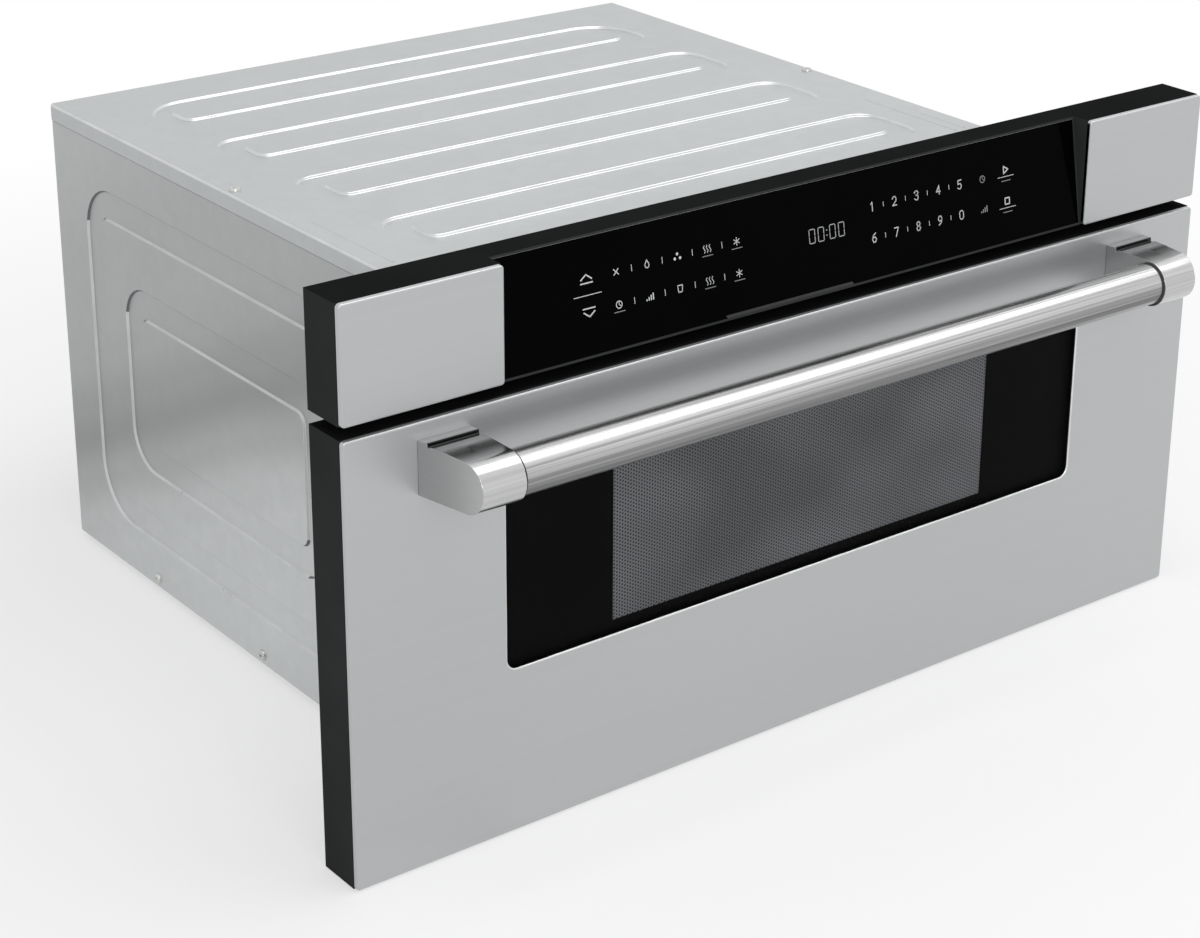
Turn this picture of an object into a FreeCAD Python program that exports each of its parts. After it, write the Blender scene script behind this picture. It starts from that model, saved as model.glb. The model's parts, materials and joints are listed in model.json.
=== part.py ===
"""Built-in microwave drawer: an oven case, a control fascia and a drawer front that slides out.

Millimetres.  X runs along the front, Y from the front to the back, Z up.  The origin is the middle
of the base, handle included, on the surface that the runners stand on.
"""
import FreeCAD, Part
import math
import os
import Sketcher

# Driving dimensions: alias, size, what it is.
DIMENSIONS = [
    ("front_width", 754.9, "width of the drawer front and of the fascia"),
    ("overall_height", 401.07, "runner soles to the top of the fascia"),
    ("front_thickness", 38.5, "front skin to the rear face of the drawer front"),
    ("fascia_thickness", 39.0, "front skin to the rear face of the fascia"),
    ("front_floor_gap", 1.0, "drawer front's lower edge above the runner soles"),
    ("drawer_front_top", 313.0, "upper edge of the drawer front"),
    ("fascia_bottom", 322.0, "lower edge of the fascia"),
    ("skin", 1.0, "steel skin of the drawer front and of the end caps"),
    ("skin_return", 3.5, "depth of the skin's folded edge"),
    ("shadow_gap", 1.0, "dark gap between the skin's folded edge and the black body"),
    ("shell_wall", 2.5, "wall of the moulded black bodies"),
    ("cap_width", 118.95, "steel end cap, from the fascia's end to the touch glass bay"),
    ("glass_top_setback", 17.5, "front skin to the glass at its upper edge"),
    ("glass_foot_setback", 3.8, "front skin to the glass at its lower edge"),
    ("touch_glass_thickness", 3.0, "touch glass"),
    ("glass_lip", 1.6, "housing edge left above and below the touch glass"),
    ("window_side", 118.65, "drawer front's end to the window cut-out"),
    ("window_bottom", 121.5, "lower edge of the window cut-out"),
    ("window_top", 262.0, "upper edge of the window cut-out"),
    ("window_radius", 8.0, "corner of the window cut-out"),
    ("window_glass_thickness", 4.0, "window glass"),
    ("glass_overlap", 4.0, "glass hidden behind the skin at each edge"),
    ("screen_width", 345.0, "perforated screen behind the window"),
    ("screen_bottom", 127.5, "lower edge of the perforated screen"),
    ("screen_top", 255.0, "upper edge of the perforated screen"),
    ("screen_thickness", 1.0, "perforated screen"),
    ("bar_standoff", 42.8, "front skin to the handle bar's axis"),
    ("bar_height", 283.7, "handle bar's axis above the soles"),
    ("bar_radius", 15.2, "handle bar"),
    ("nose_radius", 17.1, "rounded nose of the handle bracket"),
    ("bracket_edge", 52.95, "drawer front's end to the bracket's outer face"),
    ("bracket_width", 39.5, "handle bracket along the bar, at the skin"),
    ("bracket_nose_width", 32.0, "handle bracket along the bar, at the front of its nose"),
    ("bracket_foot_bottom", 264.5, "lower edge of the bracket at the skin"),
    ("bracket_foot_top", 301.5, "upper edge of the bracket at the skin"),
    ("bracket_pad", 9.0, "flat pad on top of the bracket, next to the skin"),
    ("bracket_step", 1.6, "notch in front of that pad"),
    ("bar_joint", 0.8, "shadow groove between bar and bracket"),
    ("bar_bore", 11.0, "inside of the tubular handle bar"),
    ("spigot_radius", 12.6, "spigot of the bar in the bracket"),
    ("spigot_length", 12.0, "spigot of the bar in the bracket"),
    ("screw_radius", 2.5, "handle screw"),
    ("screw_grip", 14.0, "handle screw inside the bracket"),
    ("case_width", 544.0, "galvanised case, outside"),
    ("case_bottom", 5.0, "underside of the base pan"),
    ("case_top", 366.0, "top of the case"),
    ("sheet", 1.0, "galvanised sheet"),
    ("groove_depth", 2.0, "pressed grooves"),
    ("cover_flange", 13.0, "top cover folded down over the sides"),
    ("seam", 0.4, "seam between the folded cover and the side panel"),
    ("lip", 12.0, "folded edges inside the case"),
    ("top_groove_length", 454.0, "outer length of a ring groove in the top"),
    ("top_groove_depth", 69.0, "outer depth of a ring groove in the top, front to back"),
    ("top_groove_width", 20.0, "width of the groove itself in the top"),
    ("top_groove_first", 136.4, "front skin to the first ring groove's front edge"),
    ("top_groove_last", 49.4, "last ring groove to the back of the case"),
    ("top_groove_count", 4, "ring grooves in the top"),
    ("top_groove_radius", 22.0, "outer corner of a ring groove in the top"),
    ("side_groove_width", 25.0, "width of the grooves in the side"),
    ("side_outer_front", 118.0, "outer side groove: front edge"),
    ("side_outer_last", 47.8, "outer side groove to the back of the case"),
    ("side_outer_bottom", 42.0, "outer side groove: lower edge"),
    ("side_outer_top", 318.0, "outer side groove: upper edge"),
    ("side_outer_radius", 45.0, "outer side groove: corner"),
    ("side_inner_front", 201.5, "inner side groove: front edge"),
    ("side_inner_last", 103.8, "inner side groove to the back of the case"),
    ("side_inner_bottom", 101.5, "inner side groove: lower edge"),
    ("side_inner_top", 252.5, "inner side groove: upper edge"),
    ("side_inner_radius", 32.0, "inner side groove: corner"),
    ("island_radius", 8.0, "corner of the land inside a groove"),
    ("case_screw_radius", 1.9, "case screw shank"),
    ("case_screw_length", 5.0, "case screw shank"),
    ("case_screw_head", 4.2, "case screw head radius"),
    ("case_screw_head_height", 2.2, "case screw head"),
    ("top_screw_edge", 7.0, "case edge to the screws in the top"),
    ("side_screw_height", 12.0, "screws along the foot of the side"),
    ("top_screw_setback", 318.5, "front skin to the screws in the top"),
    ("side_screw_first", 137.2, "front skin to the first screw in the side"),
    ("side_screw_last", 131.4, "last screw in the side to the back of the case"),
    ("side_screw_count", 3, "screws along the foot of each side"),
    ("frame_plate", 2.0, "front frame plate"),
    ("cavity_width", 450.0, "oven cavity, inside"),
    ("cavity_bottom", 30.0, "oven cavity floor"),
    ("cavity_top", 250.0, "oven cavity ceiling"),
    ("tub_back_gap", 20.0, "drawer tub to the cavity's back wall"),
    ("rear_bay", 120.8, "cavity's back wall to the back panel"),
    ("liner", 1.5, "sheet of the oven cavity and of the drawer tub"),
    ("choke_gap", 3.0, "choke frame to the cavity's walls"),
    ("choke_depth", 5.5, "choke frame"),
    ("choke_rim", 14.0, "width of the choke frame's rim"),
    ("tub_width", 424.0, "drawer tub, outside"),
    ("tub_bottom", 40.0, "drawer tub, underside"),
    ("tub_top", 205.0, "drawer tub, upper edge"),
    ("tub_length", 402.0, "drawer tub, front to back"),
    ("tray_thickness", 5.0, "glass tray on the tub's floor"),
    ("tray_gap", 2.0, "glass tray to the tub's walls"),
    ("slide_height", 75.0, "axis of the telescopic rails"),
    ("rail_start", 44.0, "front skin to the outer rail's front end"),
    ("rail_length", 416.0, "telescopic rail members"),
    ("outer_rail_height", 46.0, "outer rail"),
    ("rail_sheet", 1.5, "steel of the rails"),
    ("rail_clearance", 0.3, "sliding clearance between the rail members"),
    ("rail_depth", 14.0, "outer rail across"),
    ("rail_stagger", 3.5, "middle rail's web behind the outer rail's web"),
    ("slot_margin", 2.5, "front frame's slot round the rails"),
    ("drawer_travel", 380.0, "full travel of the drawer"),
    ("gear_module", 1.5, "rack and pinion"),
    ("pinion_teeth", 12, "drive pinion"),
    ("backlash", 0.25, "tooth play of the drive"),
    ("rack_back", 3.0, "rack behind its teeth"),
    ("rack_face", 10.0, "face width of the rack"),
    ("pinion_face", 12.0, "face width of the pinion"),
    ("pinion_setback", 70.0, "front skin to the pinion's axis"),
    ("drive_shaft_radius", 3.0, "shaft of the drive pinion"),
    ("shaft_clearance", 0.05, "running clearance of the small shafts"),
    ("drive_motor_radius", 12.5, "drive motor"),
    ("drive_motor_height", 34.0, "drive motor"),
    ("gearbox_height", 9.0, "gearbox on the drive motor"),
    ("gearbox_length", 30.0, "gearbox, front to back"),
    ("duct_width", 84.0, "waveguide, outside"),
    ("duct_height", 38.0, "waveguide, outside"),
    ("duct_start", 190.0, "front skin to the waveguide's front end"),
    ("duct_overhang", 14.0, "waveguide beyond the cavity's back wall"),
    ("duct_wall", 1.2, "waveguide sheet"),
    ("magnetron_inset", 41.0, "magnetron's axis to the cavity's back wall"),
    ("magnetron_width", 92.0, "magnetron yoke"),
    ("magnetron_depth", 78.0, "magnetron yoke, front to back"),
    ("magnetron_height", 58.0, "magnetron yoke"),
    ("yoke_wall", 2.0, "magnetron yoke sheet"),
    ("anode_radius", 19.0, "magnetron anode"),
    ("fin_count", 6, "magnetron cooling fins"),
    ("fin_thickness", 0.8, "magnetron cooling fin"),
    ("antenna_radius", 6.0, "magnetron antenna"),
    ("antenna_reach", 26.6, "magnetron antenna in the waveguide"),
    ("stirrer_setback", 250.0, "front skin to the stirrer's axis"),
    ("stirrer_radius", 62.0, "stirrer blades"),
    ("stirrer_blade_width", 18.0, "stirrer blades"),
    ("stirrer_shaft_radius", 3.0, "stirrer shaft"),
    ("stirrer_drop", 10.0, "cavity ceiling to the stirrer blades"),
    ("stirrer_motor_radius", 24.0, "stirrer motor"),
    ("stirrer_motor_height", 16.0, "stirrer motor"),
    ("stirrer_cover_size", 160.0, "stirrer cover"),
    ("stirrer_cover_depth", 22.0, "stirrer cover below the ceiling"),
    ("fan_radius", 52.0, "cooling fan impeller"),
    ("fan_depth", 22.0, "cooling fan impeller"),
    ("fan_height", 302.0, "cooling fan axis"),
    ("fan_gap", 3.0, "impeller to its shroud"),
    ("shroud_depth", 34.0, "fan shroud"),
    ("fan_blades", 7, "cooling fan blades"),
    ("fan_hub_radius", 16.0, "cooling fan hub"),
    ("fan_motor_radius", 20.0, "cooling fan motor"),
    ("fan_motor_length", 26.0, "cooling fan motor"),
    ("fan_shaft_radius", 2.5, "cooling fan shaft"),
    ("spider_bar", 8.0, "bars that carry the fan motor"),
    ("transformer_width", 106.0, "high-voltage transformer core"),
    ("transformer_depth", 62.0, "high-voltage transformer core"),
    ("transformer_height", 86.0, "high-voltage transformer core"),
    ("transformer_offset", 160.0, "middle of the case to the transformer"),
    ("rear_bay_gap", 14.0, "cavity's back wall to the parts in the rear bay"),
    ("capacitor_radius", 26.0, "high-voltage capacitor"),
    ("capacitor_length", 92.0, "high-voltage capacitor"),
    ("capacitor_offset", -40.0, "middle of the case to the capacitor"),
    ("board_thickness", 1.6, "circuit boards"),
    ("diode_length", 10.0, "high-voltage diode"),
    ("diode_size", 14.0, "high-voltage diode across"),
    ("display_offset", 20.0, "middle of the front to the clock display"),
    ("display_width", 90.0, "clock display"),
    ("display_height", 24.0, "clock display"),
    ("filter_width", 96.0, "noise filter board"),
    ("filter_height", 70.0, "noise filter board"),
    ("filter_rise", 100.0, "cable inlet to the noise filter board"),
    ("filter_offset", -172.0, "middle of the case to the noise filter board"),
    ("filter_post_radius", 3.0, "posts of the noise filter board"),
    ("filter_post_edge", 8.0, "edge of the noise filter board to its posts"),
    ("filter_coil_radius", 14.0, "coil on the noise filter"),
    ("filter_coil_height", 22.0, "coil on the noise filter"),
    ("filter_coil_edge", 30.0, "end of the noise filter board to the coil"),
    ("filter_can_width", 26.0, "capacitor on the noise filter"),
    ("filter_can_height", 34.0, "capacitor on the noise filter"),
    ("filter_can_depth", 18.0, "capacitor on the noise filter"),
    ("filter_can_edge", 24.0, "end of the noise filter board to the capacitor"),
    ("lamp_offset", -150.0, "middle of the case to the oven lamp"),
    ("lamp_setback", 120.0, "front skin to the oven lamp"),
    ("lamp_hole_radius", 11.0, "hole of the oven lamp in the ceiling"),
    ("lamp_bulb_radius", 8.8, "oven lamp bulb"),
    ("lamp_housing_size", 35.2, "oven lamp housing"),
    ("lamp_housing_height", 33.0, "oven lamp housing"),
    ("hook_offset", 250.0, "middle of the front to the latch hooks"),
    ("hook_low", 150.0, "height of the lower latch hook"),
    ("hook_pitch", 50.0, "latch hook to latch hook"),
    ("hook_reach", 20.0, "latch hook behind the drawer front"),
    ("switch_gap", 4.0, "latch hook to the interlock switches"),
    ("switch_width", 10.0, "interlock switch"),
    ("switch_depth", 20.0, "interlock switch"),
    ("switch_height", 12.0, "interlock switch"),
    ("runner_offset", 215.0, "middle of the case to the base runners"),
    ("runner_width", 30.0, "base runners"),
    ("shelf_hole_radius", 2.75, "holes for the shelf screws"),
    ("shelf_hole_front", 90.0, "front skin to the front shelf screws"),
    ("shelf_hole_last", 77.8, "back shelf screws to the back of the case"),
    ("inlet_offset", -205.0, "middle of the case to the cable inlet"),
    ("inlet_height", 60.0, "height of the cable inlet"),
    ("inlet_bore", 4.5, "bore of the cable inlet"),
    ("inlet_length", 24.0, "cable inlet gland"),
    ("gland_wall", 3.0, "wall of the cable inlet gland"),
    ("gland_collar", 7.0, "collar of the gland beyond its bore"),
    ("vent_width", 60.0, "vent slot"),
    ("vent_height", 4.0, "vent slot"),
    ("vent_pitch", 10.0, "vent slot to vent slot"),
    ("vent_count", 7, "vent slots in each group"),
    ("grille_count", 9, "slots of the fan's grille"),
]

doc = FreeCAD.newDocument("microwave_drawer")
sheet = doc.addObject("Spreadsheet::Sheet", "Dims")
for row, (alias, number, meaning) in enumerate(DIMENSIONS, start=1):
    sheet.set(f"A{row}", meaning)
    sheet.set(f"B{row}", str(number))
    sheet.setAlias(f"B{row}", alias)
doc.recompute()


class Size:
    """A size tied to the sheet: the expression that works it out, and its present value."""

    def __init__(self, text, value):
        self.text = text
        self.value = value

    def __add__(self, other):
        return combine(self, "+", other)

    def __radd__(self, other):
        return combine(other, "+", self)

    def __sub__(self, other):
        return combine(self, "-", other)

    def __rsub__(self, other):
        return combine(other, "-", self)

    def __mul__(self, other):
        return combine(self, "*", other)

    def __rmul__(self, other):
        return combine(other, "*", self)

    def __truediv__(self, other):
        return combine(self, "/", other)

    def __neg__(self):
        return combine(0, "-", self)


OPERATIONS = {
    "+": lambda a, b: a + b,
    "-": lambda a, b: a - b,
    "*": lambda a, b: a * b,
    "/": lambda a, b: a / b,
}


def value(size):
    """The present value of a size or of a plain number, in mm."""
    return size.value if isinstance(size, Size) else float(size)


def text(size):
    """A size as an expression."""
    return size.text if isinstance(size, Size) else repr(float(size))


def combine(left, sign, right):
    """Two sizes joined by one sign of arithmetic."""
    return Size(f"({text(left)} {sign} {text(right)})", OPERATIONS[sign](value(left), value(right)))


class Dimensions:
    """Reads d.name as the sheet's cell of that name."""

    def __getattr__(self, alias):
        return Size(f"Dims.{alias}", float(getattr(sheet, alias)))


d = Dimensions()

# Shape numbers that no other size changes.
OVERRUN = 1
PRESSURE_ANGLE = math.radians(20)
PINION_ADDENDUM = 0.9
RACK_ADDENDUM = 0.8
DEDENDUM = 1.25
RACK_SPARE_TEETH = 2.5
BLADE_TILT = 35
BLADE_ROOT = 0.8
BLADE_WIDTH = 0.9

# Places that several pieces share.
CAVITY_SETBACK = d.front_thickness + d.choke_depth + d.tub_length + d.tub_back_gap
FRONT_TO_BACK = CAVITY_SETBACK + d.rear_bay + d.sheet
FRONT = (d.bar_standoff + d.nose_radius - FRONT_TO_BACK) / 2
HALF_FRONT = d.front_width / 2
HALF_BAY = HALF_FRONT - d.cap_width
HALF_WINDOW = HALF_FRONT - d.window_side
BRACKET_INNER = HALF_FRONT - d.bracket_edge - d.bracket_width
HALF_CASE = d.case_width / 2
HALF_CAVITY = d.cavity_width / 2
FRAME_FRONT = FRONT + d.fascia_thickness
FRAME_BACK = FRAME_FRONT + d.frame_plate
DOOR_BACK = FRONT + d.front_thickness
CASE_BACK = FRONT + FRONT_TO_BACK
BODY_FRONT = FRONT + d.skin_return + d.shadow_gap
BAY_BACK = CASE_BACK - d.sheet
CAVITY_BACK = FRONT + CAVITY_SETBACK
PAN_TOP = d.case_bottom + d.sheet
COVER_UNDERSIDE = d.case_top - d.sheet
DUCT_BOTTOM = d.cavity_top + d.liner
DUCT_TOP = DUCT_BOTTOM + d.duct_height
TUB_FRONT = DOOR_BACK + d.choke_depth
TUB_BACK = TUB_FRONT + d.tub_length

# Outer face of the cavity wall, where the outer rails are fastened, and the rail members' places.
RAIL_WALL = HALF_CAVITY + d.liner
MIDDLE_WEB = RAIL_WALL + d.rail_stagger
RAIL_FACE = RAIL_WALL + d.rail_depth
HALF_OUTER = d.outer_rail_height / 2
HALF_MIDDLE = HALF_OUTER - d.rail_sheet - d.rail_clearance
HALF_INNER = HALF_MIDDLE - d.rail_sheet - d.rail_clearance
RACK_ROOT = RAIL_FACE + d.rack_back
PITCH_LINE = RACK_ROOT + DEDENDUM * d.gear_module
PITCH_RADIUS = d.gear_module * d.pinion_teeth / 2
PINION_AXIS_X = PITCH_LINE + PITCH_RADIUS
PINION_AXIS_Y = FRONT + d.pinion_setback
STIRRER_Y = FRONT + d.stirrer_setback
MAGNETRON_Y = CAVITY_BACK - d.magnetron_inset

TO_X = FreeCAD.Rotation(FreeCAD.Vector(0, 1, 0), 90)
TO_Y = FreeCAD.Rotation(FreeCAD.Vector(1, 0, 0), -90)
TO_Z = FreeCAD.Rotation()
AXIS_TURNS = {"x": TO_X, "y": TO_Y, "z": TO_Z}

sub_parts = []


def count(alias):
    """How many of something the sheet asks for."""
    return int(value(getattr(d, alias)))


def node(piece, label):
    """Names a finished sub-part and keeps it for writing."""
    piece.Label = label
    sub_parts.append(piece)
    return piece


def bind(piece, prop, size):
    """Ties one property to the sheet."""
    piece.setExpression(prop, text(size))


def put(piece, x=0, y=0, z=0):
    """Ties a piece's place to the sheet."""
    bind(piece, "Placement.Base.x", x)
    bind(piece, "Placement.Base.y", y)
    bind(piece, "Placement.Base.z", z)
    return piece


def block(x, y, z):
    """A block between two values along each axis."""
    piece = doc.addObject("Part::Box", "block")
    bind(piece, "Length", x[1] - x[0])
    bind(piece, "Width", y[1] - y[0])
    bind(piece, "Height", z[1] - z[0])
    return put(piece, x[0], y[0], z[0])


def rod(axis, start, radius, length):
    """A cylinder that runs along an axis from its start point."""
    piece = doc.addObject("Part::Cylinder", "rod")
    piece.Placement = FreeCAD.Placement(FreeCAD.Vector(), AXIS_TURNS[axis])
    bind(piece, "Radius", radius)
    bind(piece, "Height", length)
    return put(piece, *start)


def drill(axis, start, radius, length):
    """A rod that cuts right through a length: it stands out at both ends."""
    start = list(start)
    start["xyz".index(axis)] -= OVERRUN
    return rod(axis, start, radius, length + 2 * OVERRUN)


def joined(*pieces):
    """Several pieces fused into one."""
    piece = doc.addObject("Part::MultiFuse", "joined")
    piece.Shapes = list(pieces)
    return piece


def group(*pieces):
    """Several separate solids kept as one sub-part."""
    piece = doc.addObject("Part::Compound", "group")
    piece.Links = list(pieces)
    return piece


def without(base, *tools):
    """A piece with others cut out of it."""
    piece = doc.addObject("Part::Cut", "cut")
    piece.Base = base
    piece.Tool = tools[0] if len(tools) == 1 else group(*tools)
    return piece


def mirrored(piece):
    """The same piece on the other side of the middle plane."""
    copy = doc.addObject("Part::Mirroring", "mirrored")
    copy.Source = piece
    copy.Normal = FreeCAD.Vector(1, 0, 0)
    copy.Base = FreeCAD.Vector(0, 0, 0)
    return copy


def span(middle, width):
    """The two ends of a width about its middle."""
    return middle - width / 2, middle + width / 2


def both(half):
    """The two ends of a width about the middle plane."""
    return -half, half


def inset(ends, by):
    """A pair of ends drawn in by one size."""
    return ends[0] + by, ends[1] - by


def through(*ends):
    """A pair of ends for a cut that stands out at both sides."""
    return inset(ends, -OVERRUN)


# Sketches.

def new_body():
    return doc.addObject("PartDesign::Body", "Body")


def sketch_on(body, role):
    """An empty sketch on one of the body's own origin planes."""
    sketch = body.newObject("Sketcher::SketchObject", "Sketch")
    plane = next(p for p in body.Origin.OriginFeatures if p.Role == role)
    sketch.AttachmentSupport = [(plane, "")]
    sketch.MapMode = "FlatFace"
    return sketch


def pin_point(sketch, geometry, end, corner):
    """Ties one end of a line to a place measured from the sketch's origin."""
    for kind, size in zip(("DistanceX", "DistanceY"), corner):
        index = sketch.addConstraint(Sketcher.Constraint(kind, -1, 1, geometry, end, value(size)))
        sketch.setExpression(f"Constraints[{index}]", text(size))


def polygon(sketch, corners):
    """A closed outline of straight lines through the corners."""
    points = [FreeCAD.Vector(value(a), value(b), 0) for a, b in corners]
    first = sketch.GeometryCount
    for i, point in enumerate(points):
        sketch.addGeometry(Part.LineSegment(point, points[(i + 1) % len(points)]))
    for i in range(len(points)):
        following = first + (i + 1) % len(points)
        sketch.addConstraint(Sketcher.Constraint("Coincident", first + i, 2, following, 1))
    for i, corner in enumerate(corners):
        pin_point(sketch, first + i, 1, corner)


def rectangle(sketch, across, up):
    """A plain rectangle between two values each way."""
    (left, right), (low, high) = across, up
    polygon(sketch, [(left, low), (right, low), (right, high), (left, high)])


def rounded_rectangle(sketch, across, up, radius):
    """A rectangle with four equal rounded corners."""
    left, right = value(across[0]), value(across[1])
    low, high = value(up[0]), value(up[1])
    r = value(radius)
    first = sketch.GeometryCount
    ends = [((left + r, low), (right - r, low)), ((right, low + r), (right, high - r)),
            ((right - r, high), (left + r, high)), ((left, high - r), (left, low + r))]
    centres = [(right - r, low + r), (right - r, high - r), (left + r, high - r), (left + r, low + r)]
    for i in range(4):
        start, end = (FreeCAD.Vector(*point, 0) for point in ends[i])
        sketch.addGeometry(Part.LineSegment(start, end))
        circle = Part.Circle(FreeCAD.Vector(*centres[i], 0), FreeCAD.Vector(0, 0, 1), r)
        turn = (i - 1) * math.pi / 2
        sketch.addGeometry(Part.ArcOfCircle(circle, turn, turn + math.pi / 2))
    for i in range(4):
        line, arc, following = first + 2 * i, first + 2 * i + 1, first + 2 * ((i + 1) % 4)
        sketch.addConstraint(Sketcher.Constraint("Tangent", line, 2, arc, 1))
        sketch.addConstraint(Sketcher.Constraint("Tangent", arc, 2, following, 1))
        sketch.addConstraint(Sketcher.Constraint("Vertical" if i % 2 else "Horizontal", line))
        if i:
            sketch.addConstraint(Sketcher.Constraint("Equal", first + 1, arc))
    index = sketch.addConstraint(Sketcher.Constraint("Radius", first + 1, r))
    sketch.setExpression(f"Constraints[{index}]", text(radius))
    for line, kind, size in ((0, "DistanceY", up[0]), (2, "DistanceX", across[1]),
                             (4, "DistanceY", up[1]), (6, "DistanceX", across[0])):
        rule = Sketcher.Constraint(kind, -1, 1, first + line, 1, value(size))
        index = sketch.addConstraint(rule)
        sketch.setExpression(f"Constraints[{index}]", text(size))


def circle_at(sketch, centre, radius):
    """A circle about a place measured from the sketch's origin."""
    middle = FreeCAD.Vector(value(centre[0]), value(centre[1]), 0)
    geometry = sketch.addGeometry(Part.Circle(middle, FreeCAD.Vector(0, 0, 1), value(radius)))
    index = sketch.addConstraint(Sketcher.Constraint("Radius", geometry, value(radius)))
    sketch.setExpression(f"Constraints[{index}]", text(radius))
    pin_point(sketch, geometry, 3, centre)


def pad(body, sketch, length, backwards=False):
    """Raises a sketch into the body."""
    feature = body.newObject("PartDesign::Pad", "Pad")
    feature.Profile = sketch
    feature.Reversed = backwards
    bind(feature, "Length", length)
    return feature


def pocket(body, sketch, depth, backwards=False):
    """Cuts a sketch into the body."""
    feature = body.newObject("PartDesign::Pocket", "Pocket")
    feature.Profile = sketch
    feature.Reversed = backwards
    bind(feature, "Length", depth)
    return feature


def repeated(body, features, role, copies, pitch):
    """Repeats features along one of the body's own axes."""
    pattern = body.newObject("PartDesign::LinearPattern", "Pattern")
    axis = next(a for a in body.Origin.OriginFeatures if a.Role == role)
    pattern.Originals = features
    pattern.Direction = (axis, [""])
    pattern.Occurrences = copies
    bind(pattern, "Length", pitch * (copies - 1))
    body.Tip = pattern
    return pattern


# The galvanised case.

def screw_row(first, last, screws):
    """Places of the case screws along the foot of a side, front to back."""
    pitch = (FRONT_TO_BACK - first - last) / (screws - 1)
    return [FRONT + first + i * pitch for i in range(screws)]


TOP_SCREWS = [FRONT + d.top_screw_setback]
SIDE_SCREWS = screw_row(d.side_screw_first, d.side_screw_last, count("side_screw_count"))


def ring(body, role, outer, width, radius):
    """A sketch of one ring groove: its outer outline, and the land inside it."""
    sketch = sketch_on(body, role)
    rounded_rectangle(sketch, *outer, radius)
    land = [inset(ends, width) for ends in outer]
    rounded_rectangle(sketch, *land, d.island_radius)
    return sketch


def grooved(body, role, outer, width, radius, downwards):
    """A pressed ring groove: its underside first, then the groove itself."""
    wider = [inset(ends, -d.sheet) for ends in outer]
    underside = ring(body, role, wider, width + 2 * d.sheet, radius + d.sheet)
    raised = pad(body, underside, d.groove_depth + d.sheet, backwards=downwards)
    groove = ring(body, role, outer, width, radius)
    cut = pocket(body, groove, d.groove_depth, backwards=not downwards)
    return [raised, cut]


def top_screw_tools():
    """Holes for the screws in the top."""
    x = HALF_CASE - d.top_screw_edge
    low = d.case_top - 4 * d.sheet
    return [rod("z", (side * x, y, low), d.case_screw_radius, 5 * d.sheet)
            for y in TOP_SCREWS for side in (-1, 1)]


def top_cover():
    """Top cover: its folds hang over the side panels, and four ring grooves stiffen it."""
    body = new_body()
    put(body, 0, 0, d.case_top)
    depth = (FRAME_FRONT, CASE_BACK)
    plate = sketch_on(body, "XY_Plane")
    rectangle(plate, both(HALF_CASE), depth)
    pad(body, plate, d.sheet, backwards=True)
    for fold in ((-HALF_CASE, d.sheet - HALF_CASE), (HALF_CASE - d.sheet, HALF_CASE)):
        strip = sketch_on(body, "XY_Plane")
        rectangle(strip, fold, depth)
        pad(body, strip, d.cover_flange, backwards=True)
    start = FRONT + d.top_groove_first
    outer = (both(d.top_groove_length / 2), (start, start + d.top_groove_depth))
    pair = grooved(body, "XY_Plane", outer, d.top_groove_width, d.top_groove_radius, True)
    rings = count("top_groove_count")
    room = FRONT_TO_BACK - d.top_groove_first - d.top_groove_depth - d.top_groove_last
    repeated(body, pair, "Y_Axis", rings, room / (rings - 1))
    return node(without(body, *top_screw_tools()), "top_cover")


def side_panel():
    """Left side panel: one ring groove inside another, and a joggled lip under the cover's fold."""
    body = new_body()
    put(body, -HALF_CASE, 0, 0)
    depth = (FRAME_FRONT, BAY_BACK)
    seam_height = d.case_top - d.cover_flange - d.seam
    plate = sketch_on(body, "YZ_Plane")
    rectangle(plate, depth, (d.case_bottom, seam_height))
    pad(body, plate, d.sheet)
    inside = (FRAME_BACK, BAY_BACK)
    lip = sketch_on(body, "YZ_Plane")
    rectangle(lip, inside, (seam_height - d.lip / 2, COVER_UNDERSIDE))
    pad(body, lip, 2 * d.sheet)
    shelf = sketch_on(body, "YZ_Plane")
    rectangle(shelf, inside, (COVER_UNDERSIDE - d.sheet, COVER_UNDERSIDE))
    pad(body, shelf, d.sheet + d.lip)
    step = sketch_on(body, "YZ_Plane")
    rectangle(step, through(*depth), (seam_height, d.case_top))
    pocket(body, step, d.sheet, backwards=True)
    outer = ((FRONT + d.side_outer_front, CASE_BACK - d.side_outer_last),
             (d.side_outer_bottom, d.side_outer_top))
    grooved(body, "YZ_Plane", outer, d.side_groove_width, d.side_outer_radius, False)
    inner = ((FRONT + d.side_inner_front, CASE_BACK - d.side_inner_last),
             (d.side_inner_bottom, d.side_inner_top))
    last = grooved(body, "YZ_Plane", inner, d.side_groove_width, d.side_inner_radius, False)
    body.Tip = last[-1]
    foot_holes = [drill("x", (-HALF_CASE, y, d.side_screw_height), d.case_screw_radius,
                        d.case_screw_length) for y in SIDE_SCREWS]
    return without(body, *foot_holes, *top_screw_tools())


def case_screws():
    """Pan-head screws in the top and along the foot of both sides."""
    pieces = []
    for y in TOP_SCREWS:
        for side in (-1, 1):
            x = side * (HALF_CASE - d.top_screw_edge)
            head = rod("z", (x, y, d.case_top), d.case_screw_head, d.case_screw_head_height)
            shank = rod("z", (x, y, d.case_top - 2 * d.sheet), d.case_screw_radius, 2 * d.sheet)
            pieces.append(joined(head, shank))
    for y in SIDE_SCREWS:
        head = rod("x", (HALF_CASE, y, d.side_screw_height), d.case_screw_head, d.case_screw_head_height)
        shank = rod("x", (HALF_CASE - 2 * d.sheet, y, d.side_screw_height), d.case_screw_radius,
                    2 * d.sheet)
        right = joined(head, shank)
        pieces.extend([right, mirrored(right)])
    node(group(*pieces), "case_screws")


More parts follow.
